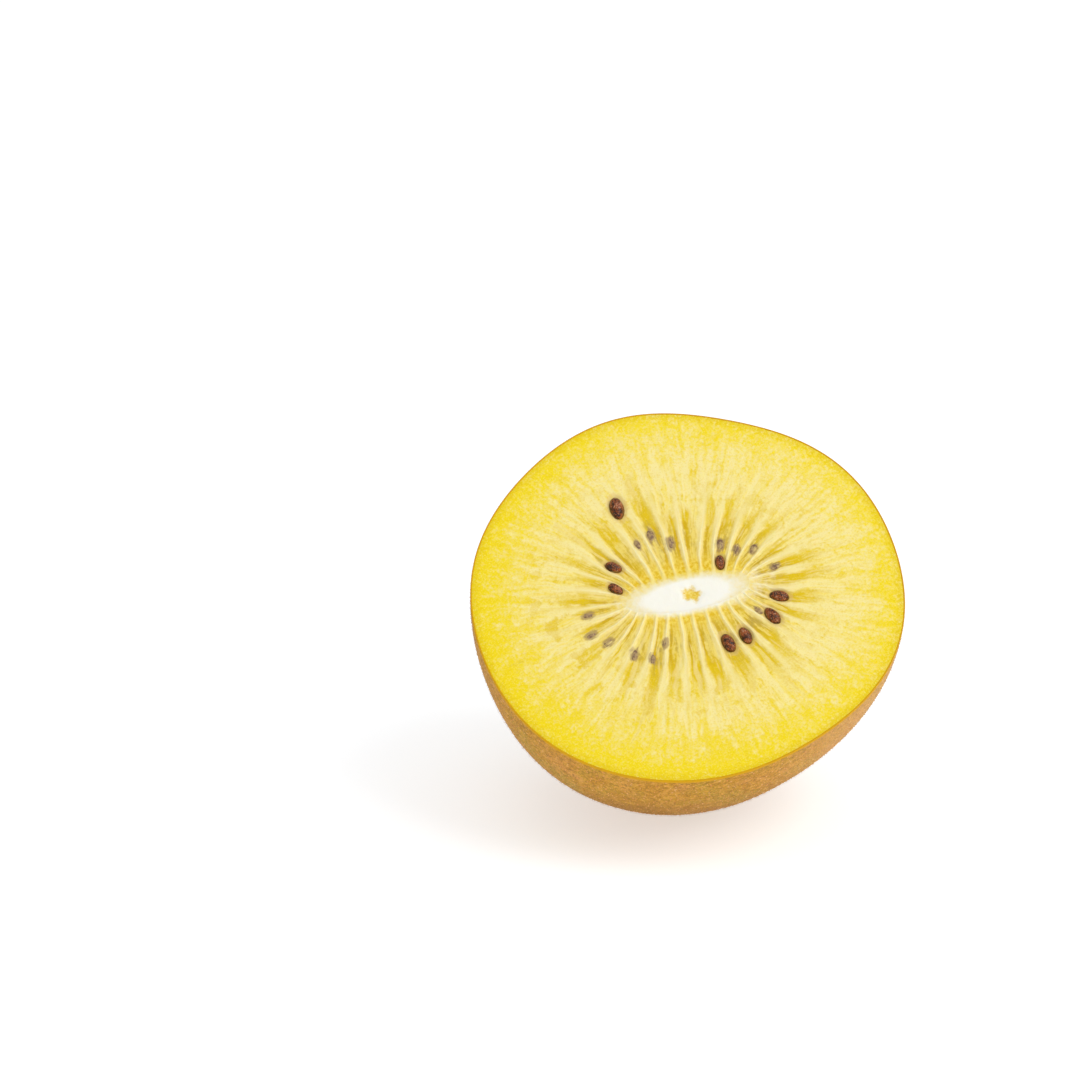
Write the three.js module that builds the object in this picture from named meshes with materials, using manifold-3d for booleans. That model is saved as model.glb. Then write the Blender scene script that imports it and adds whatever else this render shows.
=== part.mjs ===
// Half of a golden kiwi fruit, cut across its middle. It lies on its rounded side on a small flat spot, with the
// cut face turned up and forward. Millimetres, +Z up, origin at the centre of the flat spot.
//
// The fruit has a frame of its own: its axis is Z, the cut is the plane Z = 0 and the stem end lies at -Z. X runs
// across the face and Y up it. The pieces are modelled there, and one group tilts and lifts them to how they lie.
//
// The flesh is built round a flat, elongated core. Its seed chambers and the pale walls between them follow a
// family of confocal hyperbolas, which leave the core's outline at right angles and fan out to the skin. A place on
// the face is given by a turn round the core, counted in chambers, and by its reach: 0 at the core, 1 at the rim.
import * as THREE from "three";
import { mergeVertices } from "three/addons/utils/BufferGeometryUtils.js";
import Module from "manifold-3d";

// Driving dimensions.
const FACE_RADIUS = 25.6; // mean radius of the cut face
const HALF_LENGTH = 34; // from the cut face to the stem end
const BLUNTNESS = 2.05; // exponent of the lengthwise superellipse, 2 for an ellipse
const TILT = 42; // degrees from the fruit's axis to the vertical, where such a half balances by itself
const PRESSED = 0.35; // how far the skin is flattened where the fruit lies on it
const PEEL = 0.7; // thickness of the skin
const FIT = 0.25; // gap that keeps touching pieces apart

// The face's outline departs from a circle by a few waves: [waves round the face, share of the radius, degrees].
const LOBES = [
  [2, 0.0335, 13], // oval
  [3, 0.013, 0], // fuller on the right
  [5, 0.006, -30],
  [6, 0.006, -15],
];

const CORE = {
  halfLength: 7.7,
  halfWidth: 2.45,
  centre: [0.17, 0.2],
  lean: 11, // degrees
  depth: 25,
  pitDepth: 0.5,
};

const CHAMBERS = 31;
const FIRST_CHAMBER = 8.6; // degrees round the core to the middle of chamber 0
const WALL_HEIGHT = 0.12; // above the cut
const CHAMBER_DEPTH = 0.22; // below the cut
const CHAMBERS_END = 0.8; // the reach where walls and chambers have faded into plain flesh

const SEED = { length: 2.5, width: 1.55, thickness: 1.2 };
const SEED_ROOM = 0.12; // gap between a seed and the flesh round it
const BARE_SEED_HEIGHT = -0.1; // of its middle above the cut
const VEILED_SEED_TOP = -0.02; // of its upper side above the cut
// Seeds that the cut laid bare: [place in chambers, reach, twist off the chamber's line in degrees, size].
const BARE_SEEDS = [
  [8.9, 0.68, -19, 1.12],
  [11.2, 0.39, 16, 0.8],
  [12.7, 0.25, -9, 0.74],
  [4.0, 0.12, 12, 0.74],
  [28.7, 0.42, 0, 0.9],
  [27.2, 0.43, -21, 0.95],
  [25.1, 0.4, -9, 0.88],
  [24.0, 0.39, 0, 0.96],
];
// Seeds just under the cut, which show dimly through the flesh.
const VEILED_SEEDS = [
  [8.2, 0.43, -12, 0.84],
  [7.3, 0.33, -8, 0.88],
  [4.2, 0.31, 8, 0.8],
  [3.0, 0.3, 20, 0.7],
  [2.0, 0.38, 12, 0.7],
  [0.0, 0.42, 10, 0.66],
  [15.0, 0.51, -2, 0.76],
  [16.2, 0.55, -3, 0.76],
  [17.1, 0.49, 0, 0.72],
  [18.7, 0.46, 14, 0.84],
  [19.7, 0.45, 10, 0.66],
  [20.3, 0.31, 3, 0.66],
  [27.0, 0.3, -4, 0.56],
  [9.1, 0.41, -8, 0.66],
];

// The withered calyx that closes the stem end.
const SCAR = {
  radius: 4.6,
  thickness: 0.9,
  sepals: 5,
  sepalHeight: 0.55, // of the stubs above the disc
  stalkRadius: 1.4, // of the hole that the stalk left
  stalkDepth: 0.6,
};
const HOLLOW = { radius: 6.5, depth: 1.1 }; // that the calyx sits in

// How finely each surface is divided.
const PEEL_COLUMNS = 60;
const PEEL_ROWS = 12;
const FLESH_ROWS = 8;
const FACE_REACHES = [0.94, 0.82, 0.68, 0.54, 0.4, 0.27, 0.16, 0.07];
const CHAMBER_COLUMNS = [0, 0.36, 0.5, 0.64]; // a chamber's middle, a wall's foot, its crest and its other foot
const CORE_COLUMNS = 36;
const CORE_DEPTHS = [0.95, 0.75, 0.45, 0]; // as shares of the whole
const CORE_FACE = [0.7, 0.4, 0.14]; // rings on the core's face, as shares of its outline
const SCAR_COLUMNS = 40;
const SCAR_RINGS = [0.5, 0.72, 0.88, 1]; // as shares of the radius
const SEED_SIDES = 10;
const SEED_RINGS = 6;

const MATERIALS = {
  peel: new THREE.MeshStandardMaterial({ color: 0xb5853f, roughness: 0.75, metalness: 0 }),
  flesh: new THREE.MeshStandardMaterial({ color: 0xf5de5c, roughness: 0.35, metalness: 0 }),
  core: new THREE.MeshStandardMaterial({ color: 0xf9f2d8, roughness: 0.5, metalness: 0 }),
  seed: new THREE.MeshStandardMaterial({ color: 0x4a241a, roughness: 0.3, metalness: 0 }),
  veiledSeed: new THREE.MeshStandardMaterial({ color: 0x94805c, roughness: 0.4, metalness: 0 }),
  scar: new THREE.MeshStandardMaterial({ color: 0x5f4020, roughness: 0.9, metalness: 0 }),
};

const wasm = await Module();
wasm.setup();

const radians = THREE.MathUtils.degToRad;
const { lerp, smoothstep } = THREE.MathUtils;
const FULL_TURN = 2 * Math.PI;

/** Evenly spaced angles round a full turn. */
const anglesRound = (count) => Array.from({ length: count }, (_, index) => (index / count) * FULL_TURN);

// ---- Meshes and solids ------------------------------------------------------------------------------------

/** Closed geometry spun from columns of points, which run anticlockwise and share their first and last point. */
function spun(columns) {
  const rows = columns[0].length;
  const triangles = [];
  columns.forEach((_, column) => {
    const here = column * rows;
    const next = ((column + 1) % columns.length) * rows;
    for (let row = 0; row < rows - 1; row++) {
      if (row > 0) triangles.push(here + row, next + row, here + row + 1);
      if (row < rows - 2) triangles.push(next + row, next + row + 1, here + row + 1);
    }
  });
  const geometry = new THREE.BufferGeometry().setFromPoints(columns.flat());
  geometry.setIndex(triangles);
  return mergeVertices(geometry);
}

function solidOf(geometry) {
  return new wasm.Manifold(
    new wasm.Mesh({
      numProp: 3,
      vertProperties: geometry.attributes.position.array,
      triVerts: new Uint32Array(geometry.index.array),
    }),
  );
}

function geometryOf(solid) {
  const { vertProperties, triVerts } = solid.getMesh();
  const geometry = new THREE.BufferGeometry();
  geometry.setAttribute("position", new THREE.BufferAttribute(vertProperties, 3));
  geometry.setIndex(new THREE.BufferAttribute(triVerts, 1));
  return geometry;
}

/** One of three.js's own geometries with its seams closed. */
function seamless(geometry) {
  geometry.deleteAttribute("normal");
  geometry.deleteAttribute("uv");
  return mergeVertices(geometry);
}

function piece(name, geometry, material) {
  geometry.computeVertexNormals();
  const mesh = new THREE.Mesh(geometry, material);
  mesh.name = name;
  return mesh;
}

// ---- The fruit's outer form -------------------------------------------------------------------------------

/** Radius of the cut face at an angle round it. */
function faceRadius(angle) {
  const waves = LOBES.map(([count, share, at]) => share * Math.cos(count * (angle - radians(at))));
  return FACE_RADIUS * waves.reduce((sum, wave) => sum + wave, 1);
}

/** How far the hollow at the stem end draws the surface in, at a distance from the axis. */
function hollowDepth(distance) {
  const inside = Math.max(0, 1 - (distance / HOLLOW.radius) ** 2);
  return HOLLOW.depth * inside ** 2;
}

/** Height of the skin over the stem end, at a distance from the axis and an angle round it. */
function stemEndHeight(distance, angle) {
  const share = distance / faceRadius(angle);
  return hollowDepth(distance) - HALF_LENGTH * (1 - share ** BLUNTNESS) ** (1 / BLUNTNESS);
}

/** Point of the surface that lies inset inside the skin. Swing is 0 at the cut and a quarter turn at the stem. */
function skinPoint(angle, swing, inset = 0) {
  const distance = (faceRadius(angle) - inset) * Math.cos(swing) ** (2 / BLUNTNESS);
  const depth = (HALF_LENGTH - inset) * Math.sin(swing) ** (2 / BLUNTNESS);
  return new THREE.Vector3(
    distance * Math.cos(angle),
    distance * Math.sin(angle),
    hollowDepth(distance) - depth,
  );
}

/** Points of that surface at one angle, from the stem end up to the cut. */
function skinColumn(angle, rows, inset) {
  const stemEnd = new THREE.Vector3(0, 0, hollowDepth(0) - HALF_LENGTH + inset);
  const others = Array.from({ length: rows }, (_, row) =>
    skinPoint(angle, (Math.PI / 2) * (1 - (row + 1) / rows), inset),
  );
  return [stemEnd, ...others];
}

// ---- How the half lies ------------------------------------------------------------------------------------

const ACROSS = new THREE.Vector3(1, 0, 0);
const DOWN = new THREE.Vector3(0, 0, -1).applyAxisAngle(ACROSS, -radians(TILT));

/** The skin's lowest point once the fruit is tilted. */
function lowestPoint() {
  const points = anglesRound(360).flatMap((angle) =>
    anglesRound(720).slice(0, 180).map((swing) => skinPoint(angle, swing)),
  );
  return points.reduce((lowest, point) => (point.dot(DOWN) > lowest.dot(DOWN) ? point : lowest));
}

const REST_SPOT = lowestPoint().addScaledVector(DOWN, -PRESSED);

/** Everything below the surface that the fruit lies on, in the fruit's frame. */
function ground() {
  const side = 2 * FACE_RADIUS;
  const block = seamless(new THREE.BoxGeometry(side, side, side));
  block.rotateX(-radians(TILT));
  const middle = REST_SPOT.clone().addScaledVector(DOWN, side / 2);
  block.translate(middle.x, middle.y, middle.z);
  return solidOf(block);
}

// ---- Places on the cut face -------------------------------------------------------------------------------

const FOCUS = Math.sqrt(CORE.halfLength ** 2 - CORE.halfWidth ** 2);
const CORE_LEVEL = Math.atanh(CORE.halfWidth / CORE.halfLength);

/** Turn round the core at a place counted in chambers. Whole numbers are the chambers' middles, halves the walls. */
const turnAt = (place) => radians(FIRST_CHAMBER) + (place / CHAMBERS) * FULL_TURN;

/** From the core's own frame, with X along it, to the fruit's. */
function fromCore(along, across, height) {
  const lean = radians(CORE.lean);
  return new THREE.Vector3(
    CORE.centre[0] + along * Math.cos(lean) - across * Math.sin(lean),
    CORE.centre[1] + along * Math.sin(lean) + across * Math.cos(lean),
    height,
  );
}

/** Point of the cut at a turn round the core, on one of the ellipses that share the core's foci. */
function confocalPoint(turn, level) {
  return fromCore(
    FOCUS * Math.cosh(level) * Math.cos(turn),
    FOCUS * Math.sinh(level) * Math.sin(turn),
    0,
  );
}

const angleOf = (point) => Math.atan2(point.y, point.x);

/** Level of the ellipse that meets the flesh's rim at a turn, found by halving. */
function rimLevel(turn) {
  let inner = CORE_LEVEL;
  let outer = 3;
  for (let step = 0; step < 30; step++) {
    const middle = (inner + outer) / 2;
    const point = confocalPoint(turn, middle);
    const isInside = point.length() < faceRadius(angleOf(point)) - PEEL - FIT;
    if (isInside) inner = middle;
    else outer = middle;
  }
  return inner;
}

const facePoint = (turn, reach) => confocalPoint(turn, lerp(CORE_LEVEL, rimLevel(turn), reach));

/** Height of the flesh above the cut: walls stand a little proud, chambers sink, and both fade outwards. */
function fleshHeight(place, reach) {
  const fromWall = Math.abs(place - Math.floor(place) - 0.5);
  const wall = 1 - smoothstep(fromWall, 0, 0.28);
  const relief = wall * (WALL_HEIGHT + CHAMBER_DEPTH) - CHAMBER_DEPTH;
  return relief * smoothstep(reach, 0, 0.1) * (1 - smoothstep(reach, CHAMBERS_END / 2, CHAMBERS_END));
}

// ---- The pieces -------------------------------------------------------------------------------------------

/** The skin: a thin cup, flattened where the fruit lies on it. */
function makePeel() {
  const columns = anglesRound(PEEL_COLUMNS).map((angle) => [
    ...skinColumn(angle, PEEL_ROWS, 0),
    ...skinColumn(angle, PEEL_ROWS, PEEL).reverse(),
  ]);
  const cup = solidOf(spun(columns));
  return piece("peel", geometryOf(cup.subtract(ground())), MATERIALS.peel);
}

/** One side of the core at a turn round it, from its deep end up to the cut, in the core's own frame. */
function coreSide(turn, inset) {
  const deepEnd = [0, 0, inset - CORE.depth];
  const sides = CORE_DEPTHS.map((depth) => {
    const narrowing = Math.sqrt(1 - depth ** 2);
    return [
      (CORE.halfLength - inset) * narrowing * Math.cos(turn),
      (CORE.halfWidth - inset) * narrowing * Math.sin(turn),
      -depth * (CORE.depth - inset),
    ];
  });
  return [deepEnd, ...sides];
}

/** The pale core: a flat spindle, cut through, with a small pit in the middle of its face. */
function makeCore() {
  const columns = anglesRound(CORE_COLUMNS).map((turn) => {
    const side = coreSide(turn, FIT).map(([along, across, height]) => fromCore(along, across, height));
    const middle = fromCore(0, 0, 0);
    const face = CORE_FACE.map((share) => middle.clone().lerp(side.at(-1), share));
    return [...side, ...face, fromCore(0, 0, -CORE.pitDepth)];
  });
  return piece("core", spun(columns), MATERIALS.core);
}

/** The flesh before its seeds' pockets are opened: a bowl with a fluted face and a socket for the core. */
function fleshBody() {
  const places = Array.from({ length: CHAMBERS }, (_, chamber) =>
    CHAMBER_COLUMNS.map((share) => chamber + share),
  );
  const columns = places.flat().map((place) => {
    const turn = turnAt(place);
    const outside = skinColumn(angleOf(facePoint(turn, 1)), FLESH_ROWS, PEEL + FIT);
    const face = FACE_REACHES.map((reach) => facePoint(turn, reach).setZ(fleshHeight(place, reach)));
    const socket = coreSide(turn, 0).map(([along, across, height]) => fromCore(along, across, height));
    return [...outside, ...face, ...socket.reverse()];
  });
  return solidOf(spun(columns));
}

/** A seed along X, drawn to a point towards -X and somewhat flat. Swell widens it all round. */
function seedGeometry(size, swell = 0) {
  const outline = Array.from({ length: SEED_RINGS + 1 }, (_, ring) => {
    const turn = (ring / SEED_RINGS) * Math.PI;
    const bulge = Math.sin(turn) * (1 - 0.22 * Math.cos(turn));
    const isEnd = ring === 0 || ring === SEED_RINGS;
    return new THREE.Vector2(isEnd ? 0 : bulge / 2, Math.cos(turn) / 2);
  });
  const geometry = seamless(new THREE.LatheGeometry(outline.reverse(), SEED_SIDES));
  geometry.rotateZ(Math.PI / 2);
  geometry.scale(
    SEED.length * size + 2 * swell,
    SEED.width * size + 2 * swell,
    SEED.thickness * size + 2 * swell,
  );
  return geometry;
}

/** A seed laid in its chamber, and the pocket it needs in the flesh. */
function laySeed(name, [place, reach, twist, size], height, material) {
  const here = facePoint(turnAt(place), reach);
  const outwards = facePoint(turnAt(place), reach + 0.01).sub(here);
  const seed = piece(name, seedGeometry(size), material);
  seed.position.copy(here.setZ(height));
  seed.rotation.z = angleOf(outwards) + radians(twist);
  seed.updateMatrix();
  const pocket = solidOf(seedGeometry(size, SEED_ROOM).applyMatrix4(seed.matrix));
  return { seed, pocket };
}

function laySeeds() {
  const bare = BARE_SEEDS.map((row) => ({ row, height: BARE_SEED_HEIGHT, material: MATERIALS.seed }));
  const veiled = VEILED_SEEDS.map((row) => ({
    row,
    height: VEILED_SEED_TOP - (SEED.thickness * row[3]) / 2,
    material: MATERIALS.veiledSeed,
  }));
  return [...bare, ...veiled].map(({ row, height, material }, index) =>
    laySeed(`seed_${String(index + 1).padStart(2, "0")}`, row, height, material),
  );
}

/** The calyx at the stem end: a woody disc with sepal stubs round its edge and the stalk's hole in its middle. */
function makeScar() {
  const columns = anglesRound(SCAR_COLUMNS).map((angle) => {
    const edge = SCAR.radius * (1 + 0.07 * Math.cos(SCAR.sepals * angle) + 0.03 * Math.cos(13 * angle));
    const sepal = 0.5 + 0.5 * Math.cos(SCAR.sepals * angle);
    const at = (distance, drop) =>
      new THREE.Vector3(
        distance * Math.cos(angle),
        distance * Math.sin(angle),
        stemEndHeight(distance, angle) - FIT - drop,
      );
    const outer = SCAR_RINGS.map((share) => {
      const stub = SCAR.sepalHeight * sepal * smoothstep(share, 0.5, 0.88);
      const worn = share === 1 ? 0.4 : 1;
      return at(share * edge, worn * (SCAR.thickness + stub));
    });
    const inner = SCAR_RINGS.map((share) => at(share * edge, 0)).reverse();
    return [
      at(0, SCAR.thickness - SCAR.stalkDepth),
      at(0.6 * SCAR.stalkRadius, SCAR.thickness - SCAR.stalkDepth),
      at(SCAR.stalkRadius, SCAR.thickness),
      ...outer,
      ...inner,
      at(0, 0),
    ];
  });
  return piece("stem_scar", spun(columns), MATERIALS.scar);
}

// ---- The half fruit ---------------------------------------------------------------------------------------

const seeds = laySeeds();
const pockets = seeds.map(({ pocket }) => pocket);
const flesh = pockets.reduce((body, pocket) => body.subtract(pocket), fleshBody());

const fruit = new THREE.Group();
fruit.add(makePeel(), piece("flesh", geometryOf(flesh), MATERIALS.flesh), makeCore(), makeScar());
fruit.add(...seeds.map(({ seed }) => seed));
fruit.rotation.x = radians(TILT);
fruit.position.copy(REST_SPOT).applyAxisAngle(ACROSS, radians(TILT)).negate();

const part = new THREE.Group();
part.add(fruit);

export default part;
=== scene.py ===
"""Half of a golden kiwi fruit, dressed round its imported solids.

The half lies on a small flat spot of its skin, with the cut face turned up and forward. The fruit has a
frame of its own: its axis is Z, the cut is the plane Z = 0, the stem end lies at -Z, X runs across the face
and Y up it. Every piece is shaped there and then tilted into the row's frame, where the flat spot's centre
is the origin.
"""

import logging
import math
from dataclasses import dataclass, field
from enum import Enum, IntEnum
from functools import cached_property
from typing import Callable

import bmesh
import bpy
import numpy as np
from mathutils import Matrix, Vector, noise


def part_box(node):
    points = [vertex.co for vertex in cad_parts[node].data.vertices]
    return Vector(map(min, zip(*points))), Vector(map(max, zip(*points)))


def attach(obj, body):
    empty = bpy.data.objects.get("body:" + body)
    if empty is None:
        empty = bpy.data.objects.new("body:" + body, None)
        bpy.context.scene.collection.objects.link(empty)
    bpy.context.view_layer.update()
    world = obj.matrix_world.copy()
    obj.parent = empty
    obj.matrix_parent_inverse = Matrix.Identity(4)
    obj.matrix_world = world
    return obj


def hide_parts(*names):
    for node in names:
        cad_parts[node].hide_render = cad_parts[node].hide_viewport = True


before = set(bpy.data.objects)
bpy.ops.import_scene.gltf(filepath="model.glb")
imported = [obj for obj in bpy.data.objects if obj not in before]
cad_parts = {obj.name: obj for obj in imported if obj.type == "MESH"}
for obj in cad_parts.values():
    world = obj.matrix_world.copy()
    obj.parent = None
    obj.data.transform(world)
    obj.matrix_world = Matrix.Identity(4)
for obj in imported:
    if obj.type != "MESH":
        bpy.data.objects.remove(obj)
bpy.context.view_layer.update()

LOG = logging.getLogger("golden_kiwi")
MM = 0.001
TURN = 2 * math.pi
GOLDEN_TURN = 0.381966 * TURN
NOISE_MEAN = 0.5
NOISE_ROUGHNESS = 0.55
STREAK_WIDTH = 0.028
CONES_AT_ONCE = 400
WHITE = (1.0, 1.0, 1.0)
ANY_SIDEWAYS = Vector((0.3, 0.5, 0.8))

Colour = tuple[float, float, float]
Shaper = Callable[[np.ndarray, np.ndarray], np.ndarray]


# ---- Numbers ----------------------------------------------------------------------------------------------


def smooth(value: np.ndarray, low: float, high: float) -> np.ndarray:
    """Ease a value from 0 at low to 1 at high.

    Args:
        value: Values to ease.
        low: Where the result leaves 0.
        high: Where the result reaches 1.

    Returns:
        The eased values, from 0 to 1.
    """
    share = np.clip((value - low) / (high - low), 0.0, 1.0)
    return share * share * (3.0 - 2.0 * share)


def bell(value: np.ndarray, width: float) -> np.ndarray:
    """Return 1 where a value is 0, falling off as a bell of that width."""
    return np.exp(-((value / width) ** 2))


def cloud(points: np.ndarray, size: float, seed: float = 0.0) -> np.ndarray:
    """Sample a soft random field.

    Args:
        points: Places to sample, one in each row, in metres.
        size: Distance over which the field changes, in metres.
        seed: Shifts the field, so that two fields of one size differ.

    Returns:
        Values from about -1 to 1.
    """
    places = points / size + np.array((seed, 2.0 * seed, -seed))
    return np.array([noise.noise(place) for place in places.tolist()])


def srgb(red: int, green: int, blue: int) -> Colour:
    """Turn a display colour, 0 to 255 a channel, into the linear one that a shader takes."""
    parts = (channel / 255 for channel in (red, green, blue))
    return tuple(part / 12.92 if part <= 0.04045 else ((part + 0.055) / 1.055) ** 2.4 for part in parts)


# ---- The fruit's form -------------------------------------------------------------------------------------


@dataclass(frozen=True)
class FruitForm:
    """The half fruit's outer form and how it lies.

    Attributes:
        bluntness: The power of the side's superellipse; 2 would be an ellipse.
        pressed: How deep the flat spot is pressed into the round form.
        lobes: Waves round the outline: how many, how high as a share of the radius, and where, in degrees.
        search_grid: How many points round and down the flat spot's place is looked for among.
    """

    face_radius: float = 25.6 * MM
    half_length: float = 34.0 * MM
    bluntness: float = 2.05
    tilt: float = math.radians(42)
    pressed: float = 0.35 * MM
    lobes: tuple[tuple[int, float, float], ...] = (
        (2, 0.0335, 13),
        (3, 0.013, 0),
        (5, 0.006, -30),
        (6, 0.006, -15),
    )
    hollow_radius: float = 6.5 * MM
    hollow_depth: float = 1.1 * MM
    search_grid: tuple[int, int] = (721, 361)

    def outline(self, angle: np.ndarray) -> np.ndarray:
        """Return the cut face's radius at angles round it."""
        waves = sum(share * np.cos(count * (angle - math.radians(at))) for count, share, at in self.lobes)
        return self.face_radius * (1.0 + waves)

    def hollow(self, distance: np.ndarray) -> np.ndarray:
        """Return how far the stem end's hollow draws the skin in, at distances from the axis."""
        inside = np.clip(1.0 - (distance / self.hollow_radius) ** 2, 0.0, None)
        return self.hollow_depth * inside**2

    def skin(self, angle: np.ndarray, swing: np.ndarray, inset: np.ndarray | float = 0.0) -> np.ndarray:
        """Find points of the surface that lies inset inside the skin.

        Args:
            angle: Angles round the fruit's axis.
            swing: 0 at the cut and a quarter turn at the stem end.
            inset: Depth under the skin.

        Returns:
            Points in the fruit's frame, one in each row.
        """
        power = 2.0 / self.bluntness
        distance = (self.outline(angle) - inset) * np.clip(np.cos(swing), 0.0, 1.0) ** power
        depth = (self.half_length - inset) * np.clip(np.sin(swing), 0.0, 1.0) ** power
        height = self.hollow(distance) - depth
        return np.column_stack((distance * np.cos(angle), distance * np.sin(angle), height))

    def stem_end(self, distance: np.ndarray, angle: np.ndarray) -> np.ndarray:
        """Find the skin's height over the stem end.

        Args:
            distance: Distances from the fruit's axis.
            angle: Angles round it.

        Returns:
            The heights, which are below 0.
        """
        share = distance / self.outline(angle)
        depth = self.half_length * (1.0 - share**self.bluntness) ** (1.0 / self.bluntness)
        return self.hollow(distance) - depth

    @cached_property
    def turning(self) -> np.ndarray:
        """The turn from the fruit's frame to the row's."""
        return np.array(Matrix.Rotation(self.tilt, 3, "X"))

    @cached_property
    def rest_spot(self) -> np.ndarray:
        """The flat spot's centre, in the fruit's turned frame.

        Returns:
            Where the skin would reach lowest, raised by how far it is pressed flat.
        """
        around, down = self.search_grid
        angles, swings = np.meshgrid(np.linspace(0, TURN, around), np.linspace(0, TURN / 4, down))
        points = self.skin(angles.ravel(), swings.ravel()) @ self.turning.T
        lowest = points[points[:, 2].argmin()]
        return lowest + np.array((0.0, 0.0, self.pressed))

    def to_row(self, points: np.ndarray) -> np.ndarray:
        """Move points from the fruit's frame to the row's."""
        return points @ self.turning.T - self.rest_spot

    def from_row(self, points: np.ndarray) -> np.ndarray:
        """Move points from the row's frame to the fruit's."""
        return (points + self.rest_spot) @ self.turning


@dataclass(frozen=True)
class CoreField:
    """Places on the cut face: a turn round the flat core, and a reach from 0 at the core to 1 at the rim.

    Lines of one turn are confocal hyperbolas, which leave the core's outline at right angles.

    Attributes:
        lean: How far the core is turned from the face's X.
        depth: How far the core reaches down under the cut.
        white_length: Half the length of its pale tissue, which is shifted sideways by white_shift.
        white_blur: How soft the tissue's edge is, with end_blurs added at its left and right ends.
        first_chamber: The turn of the first chamber's middle.
        far_level: A level outside the rim, from which the rim's is found by so many halvings.
        ray_stretch: How much the streaks' noise is squeezed along the rays, which draws it out.
    """

    form: FruitForm
    half_length: float = 7.7 * MM
    half_width: float = 2.45 * MM
    centre: tuple[float, float] = (0.17 * MM, 0.2 * MM)
    lean: float = math.radians(11)
    depth: float = 25.0 * MM
    white_length: float = 7.5 * MM
    white_shift: float = -0.4 * MM
    white_blur: float = 0.55
    end_blurs: tuple[float, float] = (0.3, 0.55)
    chambers: int = 31
    first_chamber: float = math.radians(8.6)
    far_level: float = 3.0
    halvings: int = 26
    ray_stretch: float = 0.2

    @cached_property
    def focus(self) -> float:
        """Distance from the core's middle to each focus."""
        return math.sqrt(self.half_length**2 - self.half_width**2)

    @cached_property
    def core_level(self) -> float:
        """Level of the ellipse that is the core's outline."""
        return math.atanh(self.half_width / self.half_length)

    def from_core(self, along: np.ndarray, across: np.ndarray) -> np.ndarray:
        """Find face points from their places beside the core.

        Args:
            along: Distances along the core from its middle.
            across: Distances across it.

        Returns:
            The points' x and y, one point in each row.
        """
        cos, sin = math.cos(self.lean), math.sin(self.lean)
        return np.column_stack((
            self.centre[0] + along * cos - across * sin,
            self.centre[1] + along * sin + across * cos,
        ))

    def point(self, turn: np.ndarray, level: np.ndarray) -> np.ndarray:
        """Find face points on the confocal ellipses.

        Args:
            turn: Turns round the core.
            level: Levels of the ellipses.

        Returns:
            The points' x and y, one point in each row.
        """
        along = self.focus * np.cosh(level) * np.cos(turn)
        across = self.focus * np.sinh(level) * np.sin(turn)
        return self.from_core(along, across)

    def rim_level(self, turn: np.ndarray, inset: float = 0.0) -> np.ndarray:
        """Find the levels at which turns meet the outline that lies inset inside the rim, by halving.

        Args:
            turn: Turns round the core.
            inset: How far inside the rim the outline lies.

        Returns:
            The levels.
        """
        inner = np.full(turn.shape, self.core_level)
        outer = np.full(turn.shape, self.far_level)
        for _ in range(self.halvings):
            middle = (inner + outer) / 2.0
            x, y = self.point(turn, middle).T
            inside = np.hypot(x, y) < self.form.outline(np.arctan2(y, x)) - inset
            inner = np.where(inside, middle, inner)
            outer = np.where(inside, outer, middle)
        return inner

    def face(self, turn: np.ndarray, reach: np.ndarray, inset: float = 0.0) -> np.ndarray:
        """Return face points at turns and reaches."""
        rim = self.rim_level(turn, inset)
        return self.point(turn, self.core_level + reach * (rim - self.core_level))

    def place_of(self, points: np.ndarray) -> tuple[np.ndarray, np.ndarray]:
        """Find the turns and reaches of face points.

        Args:
            points: Points whose first two columns are x and y.

        Returns:
            Their turns and reaches.
        """
        x = points[:, 0] - self.centre[0]
        y = points[:, 1] - self.centre[1]
        place = np.arccosh((x + 1j * y) * np.exp(-1j * self.lean) / self.focus + 0j)
        sign = np.where(place.real < 0.0, -1.0, 1.0)
        turn = (sign * place.imag) % TURN
        level = np.abs(place.real)
        reach = (level - self.core_level) / (self.rim_level(turn) - self.core_level)
        return turn, reach

    def chamber_place(self, turn: np.ndarray) -> np.ndarray:
        """Count turns in chambers: whole numbers are the chambers' middles and halves are the walls."""
        return (turn - self.first_chamber) / TURN * self.chambers

    def ray(self, points: np.ndarray) -> np.ndarray:
        """Find vectors in which the wavering streaks that run outwards from the core are round blotches.

        Args:
            points: Points in the fruit's frame, one in each row.

        Returns:
            A vector for each point.
        """
        turn, reach = self.place_of(points)
        flat = points * (1.0, 1.0, 0.0)
        waver = 0.02 * cloud(flat, 2.4 * MM, seed=33.0) + 0.006 * cloud(flat, 0.9 * MM, seed=37.0)
        turn = turn + waver * smooth(reach, -0.1, 0.3)
        return np.column_stack((np.cos(turn), np.sin(turn), self.ray_stretch * reach))

    def whiteness(self, points: np.ndarray) -> np.ndarray:
        """Work out how far face points lie in the core's tissue, whose edge is blurred at its two ends.

        Args:
            points: Points in the fruit's frame, one in each row.

        Returns:
            1 in the core's middle, 0.5 on its edge and 0 outside.
        """
        x = points[:, 0] - self.centre[0]
        y = points[:, 1] - self.centre[1]
        along = x * math.cos(self.lean) + y * math.sin(self.lean)
        across = y * math.cos(self.lean) - x * math.sin(self.lean) - self.white_shift
        share = np.hypot(along / self.white_length, across / self.half_width)
        towards_end = np.clip((along / self.white_length) ** 2, 0.0, 2.0)
        left_blur, right_blur = self.end_blurs
        blur = self.white_blur + np.where(along > 0.0, right_blur, left_blur) * towards_end
        return np.clip(0.5 + (1.0 - share) / blur, 0.0, 1.0)


# ---- Making meshes ----------------------------------------------------------------------------------------


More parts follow.
